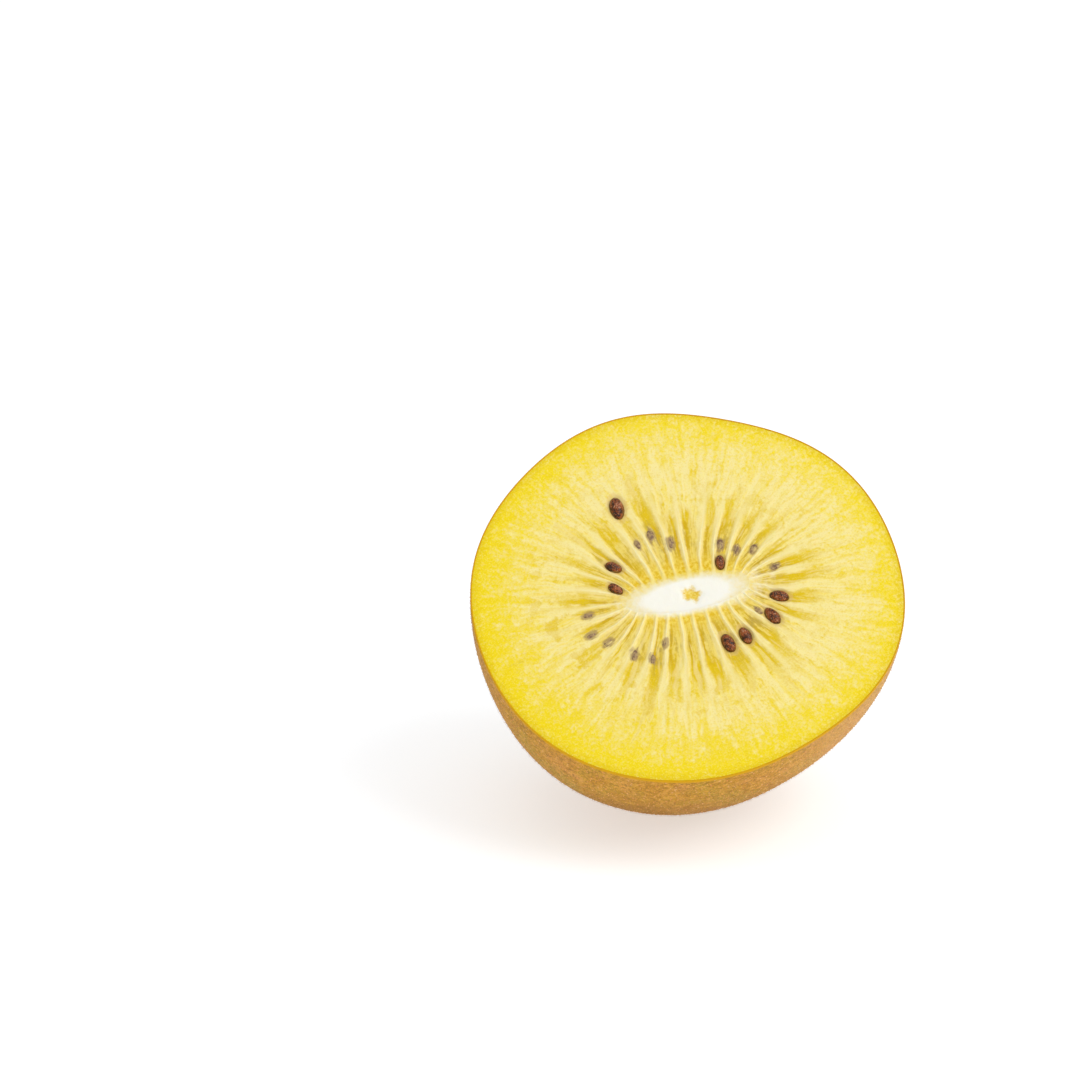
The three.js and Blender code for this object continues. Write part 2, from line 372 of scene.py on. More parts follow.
def barrel(rings: int, columns: int) -> bmesh.types.BMesh:
    """Make a closed barrel whose rings stand one unit apart up Z and close to a point at both ends.

    Args:
        rings: How many steps it has from end to end.
        columns: How many steps it has round.

    Returns:
        The barrel.
    """
    made = bmesh.new()
    foot = made.verts.new((1.0, 0.0, 0.0))
    head = made.verts.new((1.0, 0.0, float(rings)))
    stave = made.edges.new((foot, head))
    bmesh.ops.subdivide_edges(made, edges=[stave], cuts=rings - 1)
    bmesh.ops.spin(
        made,
        geom=made.verts[:] + made.edges[:],
        cent=(0.0, 0.0, 0.0),
        axis=(0.0, 0.0, 1.0),
        angle=TURN,
        steps=columns,
        use_merge=True,
    )
    for height in (0, rings):
        ring = [vert for vert in made.verts if round(vert.co.z) == height]
        bmesh.ops.pointmerge(made, verts=ring, merge_co=(0.0, 0.0, height))
    return made


def add_object(name: str, made: bmesh.types.BMesh) -> bpy.types.Object:
    """Turn a finished mesh into a smooth-shaded object at the origin, and free the mesh.

    Args:
        name: The object's name.
        made: The mesh.

    Returns:
        The object.
    """
    mesh = bpy.data.meshes.new(name)
    made.to_mesh(mesh)
    made.free()
    mesh.shade_smooth()
    thing = bpy.data.objects.new(name, mesh)
    bpy.context.scene.collection.objects.link(thing)
    return thing


def vertices_of(thing: bpy.types.Object) -> np.ndarray:
    """Read an object's vertices.

    Args:
        thing: The object.

    Returns:
        Their places, one in each row.
    """
    flat = np.empty(3 * len(thing.data.vertices))
    thing.data.vertices.foreach_get("co", flat)
    return flat.reshape(-1, 3)


def move_vertices(thing: bpy.types.Object, points: np.ndarray) -> None:
    """Move an object's vertices, and keep its faces turned outwards.

    Args:
        thing: The object.
        points: The new places, one in each row.
    """
    thing.data.vertices.foreach_set("co", points.ravel())
    thing.data.update()
    corners = np.empty(3 * len(thing.data.loop_triangles), dtype=int)
    thing.data.loop_triangles.foreach_get("vertices", corners)
    first, second, third = points[corners.reshape(-1, 3).T]
    if np.einsum("ij,ij->", first, np.cross(second, third)) < 0.0:
        thing.data.flip_normals()


def set_attribute(thing: bpy.types.Object, name: str, values: np.ndarray) -> None:
    """Give an object's points a named number or vector each.

    Args:
        thing: The object.
        name: What they are called.
        values: One for each point.
    """
    kind, key = ("FLOAT_VECTOR", "vector") if values.ndim == 2 else ("FLOAT", "value")
    attribute = thing.data.attributes.new(name, kind, "POINT")
    attribute.data.foreach_set(key, values.astype(np.float32).ravel())


@dataclass
class ShapedBarrel:
    """A barrel that has been given a natural form.

    Attributes:
        thing: The object.
        turn: Each vertex's turn round the barrel.
        ring: Each vertex's ring, counted from 0.
        points: Each vertex's place in the fruit's frame.
    """

    thing: bpy.types.Object
    turn: np.ndarray
    ring: np.ndarray
    points: np.ndarray


def shape_barrel(
    name: str, rings: int, columns: int, form: FruitForm, shape: Shaper, corner: int | None = None
) -> ShapedBarrel:
    """Make a barrel and move its vertices to a natural form.

    Args:
        name: The object's name.
        rings: How many steps the barrel has from end to end.
        columns: How many steps it has round.
        form: The fruit, which tells how the piece lies in the row's frame.
        shape: Gives points in the fruit's frame for turns and rings.
        corner: A ring where the surface turns a sharp corner.

    Returns:
        The shaped barrel.
    """
    made = barrel(rings, columns)
    bmesh.ops.recalc_face_normals(made, faces=made.faces)
    sharp = [all(round(vert.co.z) == corner for vert in edge.verts) for edge in made.edges]
    thing = add_object(name, made)
    thing.data.attributes.new("sharp_edge", "BOOLEAN", "EDGE").data.foreach_set("value", sharp)
    grid = vertices_of(thing)
    turn = np.arctan2(grid[:, 1], grid[:, 0]) % TURN
    ring = np.rint(grid[:, 2]).astype(int)
    points = shape(turn, ring)
    move_vertices(thing, form.to_row(points))
    return ShapedBarrel(thing, turn, ring, points)


def scatter_cones(name: str, placings: list[Matrix], sides: int, tip: float) -> bpy.types.Object:
    """Make one object of many small cones, a unit wide at the foot and a unit high.

    They are made some hundreds at a time, since each new one takes longer the more there are in one mesh.

    Args:
        name: The object's name.
        placings: Where each cone stands, its own Z pointing away from the surface.
        sides: How many sides a cone has.
        tip: Radius of its tip, as a share of its foot.

    Returns:
        The object.
    """
    gathered = bmesh.new()
    for start in range(0, len(placings), CONES_AT_ONCE):
        some = bmesh.new()
        for placing in placings[start : start + CONES_AT_ONCE]:
            bmesh.ops.create_cone(
                some,
                cap_ends=True,
                cap_tris=False,
                segments=sides,
                radius1=0.5,
                radius2=0.5 * tip,
                depth=1.0,
                matrix=placing,
            )
        carrier = bpy.data.meshes.new("batch")
        some.to_mesh(carrier)
        some.free()
        gathered.from_mesh(carrier)
        bpy.data.meshes.remove(carrier)
    return add_object(name, gathered)


def placing_on(point: Vector, outwards: Vector, along: Vector, sizes: tuple[float, float, float]) -> Matrix:
    """Stand a unit shape on a surface.

    Args:
        point: Place of the shape's middle.
        outwards: Direction of its Z.
        along: Roughly the direction of its X.
        sizes: Its sizes along X, Y and Z.

    Returns:
        The matrix that places it.
    """
    z = outwards.normalized()
    y = z.cross(along).normalized()
    x = y.cross(z)
    turning = Matrix((x, y, z)).transposed().to_4x4()
    return Matrix.Translation(point) @ turning @ Matrix.Diagonal((*sizes, 1.0))


# ---- Shader work ------------------------------------------------------------------------------------------


class Signal:
    """A number that varies over a surface, which takes part in Python expressions."""

    def __init__(self, paint: "Paint", socket: bpy.types.NodeSocket) -> None:
        """Wrap a node's output socket."""
        self.paint = paint
        self.socket = socket

    def _math(self, operation: str, first: object, second: object) -> "Signal":
        """Add a Math node on two values."""
        return self.paint.signal("ShaderNodeMath", {"operation": operation}, (first, second))

    def __add__(self, other: object) -> "Signal":
        """Add."""
        return self._math("ADD", self, other)

    __radd__ = __add__

    def __mul__(self, other: object) -> "Signal":
        """Multiply."""
        return self._math("MULTIPLY", self, other)

    __rmul__ = __mul__

    def __sub__(self, other: object) -> "Signal":
        """Subtract."""
        return self._math("SUBTRACT", self, other)

    def __rsub__(self, other: object) -> "Signal":
        """Subtract this from a number."""
        return self._math("SUBTRACT", other, self)

    def size(self) -> "Signal":
        """Drop the sign."""
        return self._math("ABSOLUTE", self, 0.0)

    def angle_from(self, other: "Signal") -> "Signal":
        """Return the angle whose sine and cosine are in the ratio of this and another value."""
        return self._math("ARCTAN2", self, other)

    def sway(self, amount: float) -> "Signal":
        """Turn noise into what it adds to or takes from a place: nothing at its mean."""
        return (self - NOISE_MEAN) * amount

    def bump_at(self, centre: float, width: float) -> "Signal":
        """Rise to 1 where this equals centre and ease to 0 on both sides, that width away."""
        return (self - centre).size().eased(width, 0.0)

    def eased(self, low: float, high: float) -> "Signal":
        """Ease from 0 at low to 1 at high; low may be the greater."""
        settings = {"interpolation_type": "SMOOTHSTEP"}
        return self.paint.signal("ShaderNodeMapRange", settings, {0: self, 1: low, 2: high})


Layer = tuple[Signal, object, float]


class Paint:
    """A material's node tree, and the few ways in which it is added to."""

    def __init__(self, name: str) -> None:
        """Start a material with its Principled shader.

        Args:
            name: The material's name.
        """
        self.material = bpy.data.materials.new(name)
        self.material.use_nodes = True
        self.tree = self.material.node_tree
        self.shader = self.tree.nodes["Principled BSDF"]

    def node(self, kind: str, settings: dict | None = None, inputs: dict | tuple = ()) -> bpy.types.Node:
        """Add a node.

        Args:
            kind: The node's type.
            settings: Properties, which are set first.
            inputs: Numbers, colours, sockets or signals, by the input's name or number.

        Returns:
            The node.
        """
        made = self.tree.nodes.new(kind)
        for name, value in (settings or {}).items():
            setattr(made, name, value)
        named = inputs if isinstance(inputs, dict) else dict(enumerate(inputs))
        for name, value in named.items():
            self.feed(made.inputs[name], value)
        return made

    def feed(self, socket: bpy.types.NodeSocket, value: object) -> None:
        """Link a signal or socket to an input, or set a number or colour on it.

        Args:
            socket: The input.
            value: What it gets.
        """
        if isinstance(value, Signal):
            value = value.socket
        if isinstance(value, bpy.types.NodeSocket):
            self.tree.links.new(value, socket)
        elif socket.type == "RGBA" and len(value) == 3:
            socket.default_value = (*value, 1.0)
        else:
            socket.default_value = value

    def signal(
        self, kind: str, settings: dict | None = None, inputs: dict | tuple = (), output: object = 0
    ) -> Signal:
        """Add a node and wrap one of its outputs as a number."""
        return Signal(self, self.node(kind, settings, inputs).outputs[output])

    def attribute(self, name: str) -> Signal:
        """Read a number that the mesh carries."""
        return self.signal("ShaderNodeAttribute", {"attribute_name": name}, output="Fac")

    def vector_attribute(self, name: str) -> bpy.types.NodeSocket:
        """Read a vector that the mesh carries."""
        return self.node("ShaderNodeAttribute", {"attribute_name": name}).outputs["Vector"]

    def parts(self, vector: bpy.types.NodeSocket) -> tuple[Signal, Signal, Signal]:
        """Split a vector into its three numbers."""
        split = self.node("ShaderNodeSeparateXYZ", {}, (vector,))
        return tuple(Signal(self, output) for output in split.outputs)

    @cached_property
    def place(self) -> bpy.types.NodeSocket:
        """The surface point's place, in metres."""
        return self.node("ShaderNodeTexCoord").outputs["Object"]

    def noise(
        self, size: float, detail: float = 2.0, warp: float = 0.0, over: bpy.types.NodeSocket | None = None
    ) -> Signal:
        """Sample soft noise.

        Args:
            size: Size of its blotches, in the units of what it is sampled over.
            detail: How many finer layers it has.
            warp: How far it is distorted.
            over: What it is sampled over, if not the surface point's place.

        Returns:
            Values round 0.5.
        """
        inputs = {"Vector": over or self.place, "Scale": 1.0 / size, "Detail": detail}
        inputs |= {"Roughness": NOISE_ROUGHNESS, "Distortion": warp}
        return self.signal("ShaderNodeTexNoise", {}, inputs, "Fac")

    def cells(self, size: float) -> Signal:
        """Return the distance from the middle of the cell that a place is in, for cells of that size."""
        inputs = {"Vector": self.place, "Scale": 1.0 / size}
        return self.signal("ShaderNodeTexVoronoi", {}, inputs, "Distance")

    def mix(self, share: object, under: object, over: object) -> bpy.types.NodeSocket:
        """Blend two colours; a share of 1 gives the second."""
        settings = {"data_type": "RGBA", "clamp_factor": True}
        return self.node("ShaderNodeMix", settings, {0: share, 6: under, 7: over}).outputs[2]

    def coats(self, under: object, *layers: Layer) -> bpy.types.NodeSocket:
        """Lay colours over one another.

        Args:
            under: The lowest colour.
            layers: The further ones, from below: where each lies, its colour and how strongly it covers.

        Returns:
            The colour that shows.
        """
        for share, over, strength in layers:
            under = self.mix(share * strength, under, over)
        return under

    def bump(self, height: Signal, depth: float, strength: float) -> bpy.types.NodeSocket:
        """Turn a height from 0 to 1 into a normal for relief of that depth."""
        inputs = {"Strength": strength, "Distance": depth, "Height": height}
        return self.node("ShaderNodeBump", {}, inputs).outputs["Normal"]

    def finish(self, **sockets: object) -> bpy.types.Material:
        """Set the Principled shader's inputs.

        Args:
            **sockets: What they get, by their names in small letters with underscores for spaces.

        Returns:
            The finished material.
        """
        for name, value in sockets.items():
            self.feed(self.shader.inputs[name.replace("_", " ").title().replace("Ior", "IOR")], value)
        return self.material


# ---- Finishes ---------------------------------------------------------------------------------------------


@dataclass(frozen=True)
class FaceSignals:
    """What the finishes of the cut face are mixed from: the place on it, and noises over it."""

    paint: Paint
    grain_size: float = 0.36 * MM
    patch_size: float = 1.5 * MM
    streak_width: float = STREAK_WIDTH
    broad_width: float = 0.06

    @cached_property
    def lay(self) -> tuple[Signal, Signal, Signal]:
        """The sine and the cosine of the place in the chamber, and the reach."""
        return self.paint.parts(self.paint.vector_attribute("lay"))

    @property
    def reach(self) -> Signal:
        """0 at the core and 1 at the rim."""
        return self.lay[2]

    @cached_property
    def across(self) -> Signal:
        """Place across the chamber: 0 in its middle, and 0.5 either way on the middle of its walls."""
        sine, cosine, _ = self.lay
        return sine.angle_from(cosine) * (1.0 / TURN)

    @cached_property
    def streak(self) -> Signal:
        """Noise drawn out along the rays."""
        return self.along_rays(self.streak_width)

    @cached_property
    def broad(self) -> Signal:
        """The same, twice as broad."""
        return self.along_rays(self.broad_width)

    @cached_property
    def grain(self) -> Signal:
        """Fine noise."""
        return self.paint.noise(self.grain_size, detail=2.5)

    @cached_property
    def patch(self) -> Signal:
        """Coarse noise."""
        return self.paint.noise(self.patch_size, warp=0.5)

    def along_rays(self, width: float, detail: float = 2.0) -> Signal:
        """Sample noise drawn out along the rays."""
        return self.paint.noise(width, detail, over=self.paint.vector_attribute("ray"))

    def clear_of_crowding(self, amount: float) -> Signal:
        """Return 1 where walls stand apart, and that amount less where they run into one another."""
        return 1.0 - self.paint.attribute("crowded") * amount


@dataclass(frozen=True)
class CutTissue:
    """What the flesh and the core have in common, so that one passes into the other without a seam."""

    cream: Colour = srgb(255, 252, 238)
    wall: Colour = srgb(252, 234, 160)
    near_wall: Colour = srgb(246, 222, 138)
    crest: Colour = srgb(255, 243, 186)
    foot_wall: Colour = srgb(252, 231, 142)
    foot_light: Colour = srgb(249, 221, 92)
    foot_dark: Colour = srgb(230, 187, 8)

    def foot(self, paint: Paint, wall: Signal) -> bpy.types.NodeSocket:
        """Colour the granular golden tissue round the core, with the pale walls that cross it.

        Args:
            paint: The material.
            wall: Where walls are, from 0 to 1.

        Returns:
            The colour.
        """
        away_from_core = 1.0 - paint.attribute("white").eased(0.0, 0.5) * 0.8
        grain = paint.noise(0.4 * MM).eased(0.36, 0.62) * away_from_core
        return paint.coats(self.foot_light, (grain, self.foot_dark, 1.0), (wall, self.foot_wall, 0.85))

    def wall_share(self, face: FaceSignals) -> Signal:
        """Tell where the walls between chambers are.

        Args:
            face: The place on the face and the noises.

        Returns:
            1 in a wall and 0 in a chamber.
        """
        frayed = face.paint.noise(0.5 * MM).sway(0.14) + face.paint.noise(2.4 * MM, detail=1.0).sway(0.16)
        half = 0.14 + face.reach.eased(0.3, 0.9) * 0.2
        return (face.across.size() + half + frayed).eased(0.38, 0.56) * face.clear_of_crowding(0.75)

    def core_share(self, paint: Paint) -> Signal:
        """Tell where the core's pale tissue is, with its frayed edge."""
        frayed = paint.noise(0.45 * MM).sway(0.5) + paint.noise(1.5 * MM, detail=1.0).sway(0.4)
        return (paint.attribute("white") + frayed).eased(0.12, 0.92)


@dataclass(frozen=True)
class FleshFinish:
    """Moist yellow flesh: saturated at the rim, creamy further in, streaked and veiled in the chambers."""

    tissue: CutTissue = CutTissue()
    rim: Colour = srgb(250, 222, 2)
    rim_edge: Colour = srgb(232, 200, 6)
    outer_pale: Colour = srgb(254, 236, 160)
    outer_deep: Colour = srgb(250, 223, 78)
    ray_end: Colour = srgb(234, 205, 74)
    blotch: Colour = srgb(236, 203, 4)
    chamber_pale: Colour = srgb(244, 219, 112)
    chamber_gold: Colour = srgb(227, 191, 12)
    olive: Colour = srgb(188, 160, 76)
    deep: Colour = srgb(216, 176, 0)
    vivid: Colour = srgb(232, 197, 0)
    bright_grain: Colour = srgb(255, 240, 140)
    dull_grain: Colour = srgb(232, 198, 10)
    # Colour of the painted shadow line beside a chamber wall.
    crevice_shadow: Colour = srgb(158, 124, 26)
    halo: Colour = srgb(238, 206, 126)
    # Colour of the painted shade round each bare seed's edge.
    groove_shade: Colour = srgb(140, 96, 44)
    veil: Colour = srgb(170, 140, 92)

    def material(self) -> bpy.types.Material:
        """Mix the finish.

        Returns:
            The material.
        """
        paint = Paint("kiwi_flesh")
        face = FaceSignals(paint)
        reach, streak, grain, patch = face.reach, face.streak, face.grain, face.patch
        fine = paint.noise(0.2 * MM, detail=1.5)
        wall = self.tissue.wall_share(face)
        line = (face.across.size() + face.broad.sway(0.2)).eased(0.26, 0.48) * reach.eased(0.95, 0.5)
        line_colour = paint.mix(reach.eased(0.34, 0.62), self.tissue.near_wall, self.tissue.wall)
        past_end = reach - paint.attribute("span") + streak.sway(0.7) + patch.sway(0.4)
        chamber = (1.0 - wall) * past_end.eased(0.10, -0.12)
        crest = (face.across.size() + grain.sway(0.1) + patch.sway(0.08)).eased(0.43, 0.5)
        crest = crest * reach.eased(0.02, 0.14) * reach.eased(0.66, 0.3) * face.clear_of_crowding(0.5)
        bright = fine.eased(0.52, 0.72) * (reach.eased(0.4, 0.75) * 0.3 + 0.1)
        dull = fine.eased(0.48, 0.3) * reach.eased(0.3, 0.8)
        veil = (paint.attribute("veil") + streak.sway(1.6) + grain.sway(0.6)).eased(0.3, 1.0)
        halo = (paint.attribute("halo") + grain.sway(0.8) + patch.sway(1.2)).eased(0.3, 0.9)
        # Painted shade: a dark ring in the groove round each bare seed's edge.
        groove_shade = (paint.attribute("groove_shade") + grain.sway(0.3)).eased(0.3, 0.9)
        colour = paint.coats(
            self.outer(face),
            (line, line_colour, 0.8),
            (chamber, self.inner(face), 1.0),
            (reach.eased(0.26, 0.05), self.tissue.foot(paint, wall), 1.0),
            (crest, self.tissue.crest, 0.85),
            (bright, self.bright_grain, 1.0),
            (dull, self.dull_grain, 0.3),
            (veil, self.veil, 0.8),
            (halo, self.halo, 0.5),
            (groove_shade, self.groove_shade, 1.0),
            (self.tissue.core_share(paint), self.tissue.cream, 1.0),
        )
        height = grain * 0.5 + fine * 0.5 + streak * 0.3 * reach.eased(0.1, 0.3)
        return paint.finish(
            base_color=colour,
            roughness=0.36 + grain * 0.2,
            normal=paint.bump(height, depth=0.08 * MM, strength=0.6),
            subsurface_weight=0.12,
            subsurface_radius=(1.0, 0.75, 0.25),
            subsurface_scale=0.45 * MM,
            coat_weight=0.03,
            coat_roughness=0.25,
            specular_ior_level=0.3,
            ior=1.33,
        )

    def outer(self, face: FaceSignals) -> bpy.types.NodeSocket:
        """Colour the flesh outside the chambers, deeper towards the lower left and paler towards the upper
        right, which is painted light from the upper right.

        Args:
            face: The place on the face and the noises.

        Returns:
            The colour.
        """
        paint, reach, grain, patch = face.paint, face.reach, face.grain, face.patch
        side, _, height = paint.parts(paint.place)
        # Painted light: a gradient in object coordinates, paler towards the upper right where the light
        # falls and deeper yellow towards the lower left.
        away_from_light = (side * -0.6 - height * 0.8).eased(-42.0 * MM, -4.0 * MM)
        mottle = grain * 0.45 + face.streak + patch * 0.2 + reach * 0.4 + away_from_light * 0.08
        ray_end = (face.broad + patch.sway(0.5) + grain.sway(0.2)).eased(0.44, 0.64)
        blotch = (patch * 0.5 + face.streak * 0.3 + face.broad * 0.3 + grain.sway(0.2)).eased(0.57, 0.71)
        spot = (paint.noise(2.4 * MM, detail=1.0) + grain.sway(0.2)).eased(0.6, 0.68)
        rim = (reach + grain.sway(0.42) + patch.sway(0.26) + away_from_light * 0.05).eased(0.8, 1.06)
        return paint.coats(
            self.outer_pale,
            (mottle.eased(1.005, 1.445), self.outer_deep, 1.0),
            (ray_end * reach.bump_at(0.56, 0.24), self.ray_end, 0.8),
            (blotch * reach.bump_at(0.66, 0.3), self.blotch, 0.85),
            (spot * reach.bump_at(0.66, 0.26) * away_from_light, self.vivid, 0.9),
            (rim, self.rim, 1.0),
            ((reach + grain.sway(0.06)).eased(0.97, 1.0), self.rim_edge, 0.6),
        )

    def inner(self, face: FaceSignals) -> bpy.types.NodeSocket:
        """Colour the flesh in the chambers, which is deeper along one wall, with a painted shadow line along
        that wall.

        Args:
            face: The place on the face and the noises.

        Returns:
            The colour.
        """
        paint, reach, across = face.paint, face.reach, face.across
        streak, broad, grain, patch = face.streak, face.broad, face.grain, face.patch
        margin = paint.attribute("margin")
        base = (streak * 0.5 + broad * 0.5 + grain.sway(0.25)).eased(0.4, 0.64)
        hugging = (across - margin * 0.24).bump_at(0.0, 0.2) * margin.size() * 0.3
        outer_end = reach.bump_at(0.54, 0.18) * paint.attribute("fullness") * 0.3
        deep = broad * 0.8 + streak * 0.3 + patch * 0.45 + hugging + outer_end + grain.sway(0.15)
        deep_colour = paint.mix((reach + patch.sway(0.5)).eased(0.36, 0.52), self.deep, self.vivid)
        murky = paint.attribute("murk") * (patch * 0.7 + streak * 0.6 + grain * 0.2).eased(0.66, 0.95)
        # Painted shadow: a thin dark line along the wall on the chamber's deeper side.
        split = (across - margin * 0.36 + streak.sway(0.1)).bump_at(0.0, 0.055) * margin.size()
        split = split * reach.bump_at(0.36, 0.28) * (patch * 2.0 + grain * 0.8 - 0.9)
        thread = face.along_rays(0.045, detail=1.0).eased(0.56, 0.68) * reach.eased(0.1, 0.3)
        return paint.coats(
            self.chamber_pale,
            (base, self.chamber_gold, 1.0),
            (deep.eased(0.86, 1.0), deep_colour, 1.0),
            (murky, self.olive, 0.9),
            (split, self.crevice_shadow, 1.0),
            (thread, self.tissue.near_wall, 0.7),
        )


@dataclass(frozen=True)
class CoreFinish:
    """Dense creamy core, frayed into the flesh round it, with an amber star in its pit."""

    tissue: CutTissue = CutTissue()
    shade: Colour = srgb(244, 232, 196)
    star: Colour = srgb(248, 222, 104)
    star_dark: Colour = srgb(236, 196, 46)

    def material(self) -> bpy.types.Material:
        """Mix the finish.

        Returns:
            The material.
        """
        paint = Paint("kiwi_core")
        face = FaceSignals(paint, grain_size=0.30 * MM)
        grain = face.grain
        shade = paint.attribute("white").eased(1.0, 0.6) * 0.6 * (0.4 + grain * 1.2)
        frayed = paint.noise(0.7 * MM).sway(1.0) + grain.sway(0.8)
        star = (paint.attribute("star") * 1.3 + frayed).eased(0.25, 1.05)
        colour = paint.coats(
            self.tissue.foot(paint, self.tissue.wall_share(face)),
            (self.tissue.core_share(paint), paint.mix(shade, self.tissue.cream, self.shade), 1.0),
            (star, paint.mix(grain.eased(0.35, 0.65), self.star, self.star_dark), 1.0),
        )
        return paint.finish(
            base_color=colour,
            roughness=0.45,
            normal=paint.bump(grain * 0.7 + face.streak * 0.3, depth=0.06 * MM, strength=0.6),
            subsurface_weight=0.15,
            subsurface_radius=(1.0, 0.85, 0.6),
            subsurface_scale=0.5 * MM,
            ior=1.38,
        )


@dataclass(frozen=True)
class PeelFinish:
    """Thin tan skin: fine grain, olive patches, pale freckles, a golden edge where it was cut, painted shade
    low down and painted light on its right side.
    """

    tan: Colour = srgb(194, 137, 30)
    light: Colour = srgb(222, 168, 78)
    dark: Colour = srgb(142, 98, 20)
    olive: Colour = srgb(174, 144, 40)
    gold: Colour = srgb(208, 152, 16)
    rosy: Colour = srgb(206, 142, 66)
    speck: Colour = srgb(232, 150, 74)
    pale: Colour = srgb(236, 192, 130)
    cut_edge: Colour = srgb(218, 162, 8)
    stem_end: Colour = srgb(140, 96, 46)

    def material(self) -> bpy.types.Material:
        """Mix the finish.

        Returns:
            The material.
        """
        paint = Paint("kiwi_peel")
        grain = paint.noise(0.24 * MM)
        mottle = paint.noise(0.7 * MM)
        blotch = paint.noise(2.6 * MM, detail=3.0)
        warm = paint.noise(6.0 * MM, warp=0.3)
        patch = paint.noise(9.0 * MM, detail=3.0, warp=0.4)
        rough = grain + mottle.sway(0.6)
        side, _, height = paint.parts(paint.place)
        # Height with noise, for the painted shade that darkens the skin towards the floor.
        low = height + blotch.sway(6.0 * MM) + patch.sway(8.0 * MM)
        colour = paint.coats(
            self.tan,
            ((patch + blotch.sway(0.5)).eased(0.42, 0.7), self.olive, 0.85),
            ((blotch + mottle.sway(0.5)).eased(0.5, 0.72), self.gold, 0.6),
            ((warm + blotch.sway(0.4)).eased(0.5, 0.7), self.rosy, 0.7),
            (rough.eased(0.5, 0.7), self.light, 0.8),
            (rough.eased(0.5, 0.32), self.dark, 0.7),
            ((paint.noise(0.32 * MM, detail=1.0) + mottle.sway(0.3)).eased(0.66, 0.74), self.speck, 0.6),
            (paint.attribute("stem_end"), self.stem_end, 0.5 + blotch * 0.8),
            # Painted light: the skin is paler towards +X, the side that faces the key light.
            (side.eased(8.0 * MM, 24.0 * MM), self.pale, 0.3),
            # Painted shade: the skin darkens below about 11 mm, as it would in the shade underneath.
            (low.eased(11.0 * MM, 3.0 * MM), self.dark, 0.6),
            ((paint.attribute("cut_edge") + grain.sway(0.6)).eased(0.12, 0.85), self.cut_edge, 1.0),
        )
        return paint.finish(
            base_color=colour,
            roughness=0.56 + grain * 0.2,
            normal=paint.bump(grain * 0.5 + mottle * 0.4 + blotch * 0.5, depth=0.12 * MM, strength=0.7),
            specular_ior_level=0.2,
            ior=1.45,
        )


@dataclass(frozen=True)
class SeedFinish:
    """A bare seed's hard coat: dark, glossy and netted with fine pits."""

    dark: Colour = srgb(54, 26, 10)
    light: Colour = srgb(158, 80, 28)
    glint: Colour = srgb(206, 168, 134)

    def material(self) -> bpy.types.Material:
        """Mix the finish.

        Returns:
            The material.
        """
        paint = Paint("seed_coat")
        net = paint.cells(0.17 * MM)
        patch = paint.noise(0.9 * MM, detail=4.0, warp=0.3)
        fine = paint.noise(0.14 * MM, detail=1.0)
        colour = paint.coats(
            self.dark,
            ((patch + (net - 0.4) * 0.4).eased(0.42, 0.66), self.light, 1.0),
            ((fine + patch.sway(0.4)).eased(0.58, 0.72), self.glint, 0.7),
        )
        return paint.finish(
            base_color=colour,
            roughness=0.3 + patch * 0.2,
            normal=paint.bump(1.0 - net, depth=0.05 * MM, strength=0.7),
            coat_weight=0.1,
            coat_roughness=0.12,
            specular_ior_level=0.35,
            ior=1.45,
        )


@dataclass(frozen=True)
class VeiledSeedFinish:
    """A seed dimmed by the film of flesh over it: grey-brown, crossed by the flesh's streaks."""

    dark: Colour = srgb(122, 92, 70)
    light: Colour = srgb(180, 150, 102)
    film: Colour = srgb(234, 212, 122)

    def material(self) -> bpy.types.Material:
        """Mix the finish.

        Returns:
            The material.
        """
        paint = Paint("veiled_seed_coat")
        streak = paint.noise(STREAK_WIDTH, over=paint.vector_attribute("ray"))
        patch = paint.noise(0.45 * MM, detail=3.0, warp=0.4)
        film = (paint.attribute("edge") * 0.3 + streak.sway(2.6) + patch.sway(0.8)).eased(0.15, 0.9)
        return paint.finish(
            base_color=paint.coats(
                self.dark, (patch.eased(0.34, 0.6), self.light, 1.0), (film, self.film, 0.9)
            ),
            roughness=0.4 + patch * 0.15,
            normal=paint.bump(patch, depth=0.05 * MM, strength=0.5),
            ior=1.38,
        )


@dataclass(frozen=True)
class WoodyFinish:
    """Dry brown tissue: the withered calyx, its sepals and fibres, in the skin's colour along its edge."""

    name: str
    dark: Colour
    light: Colour
    edge: Colour

    def material(self) -> bpy.types.Material:
        """Mix the finish.

        Returns:
            The material.
        """
        paint = Paint(self.name)
        place = paint.vector_attribute("fibre")
        fibre = paint.noise(0.16, detail=4.0, warp=0.3, over=place)
        grain = paint.noise(0.35 * MM, detail=3.0)
        _, _, out = paint.parts(place)
        colour = paint.coats(
            self.dark,
            ((fibre * 0.7 + grain * 0.4).eased(0.4, 0.72), self.light, 1.0),
            ((out + grain.sway(0.2)).eased(0.58, 0.74), self.edge, 0.8),
        )
        return paint.finish(
            base_color=colour,
            roughness=0.85,
            normal=paint.bump(fibre * 0.7 + grain * 0.3, depth=0.25 * MM, strength=0.9),
            ior=1.4,
        )


@dataclass(frozen=True)
class PlainGrainFinish:
    """A tiny piece's finish: one colour that varies from piece to piece."""

    name: str
    dark: Colour
    light: Colour
    roughness: float

    def material(self) -> bpy.types.Material:
        """Mix the finish.

        Returns:
            The material.
        """
        paint = Paint(self.name)
        share = paint.noise(1.3 * MM).eased(0.35, 0.65)
        return paint.finish(
            base_color=paint.mix(share, self.dark, self.light),
            roughness=self.roughness,
            normal=paint.bump(paint.noise(0.2 * MM, detail=1.0), depth=0.03 * MM, strength=0.5),
        )


class SlotName(Enum):
    """The record's material slots."""

    PEEL = "peel"
    FLESH = "flesh"
    CORE = "core"
    SEED = "seed"
    VEILED_SEED = "veiled_seed"
    SCAR = "scar"


class Draws(IntEnum):
    """Where each run of random draws starts."""

    CHAMBERS = 31
    FRECKLE_SIZES = 41
    FRECKLE_PLACES = 43
    HAIR_SIZES = 47
    HAIR_PLACES = 53
    BRISTLES = 71


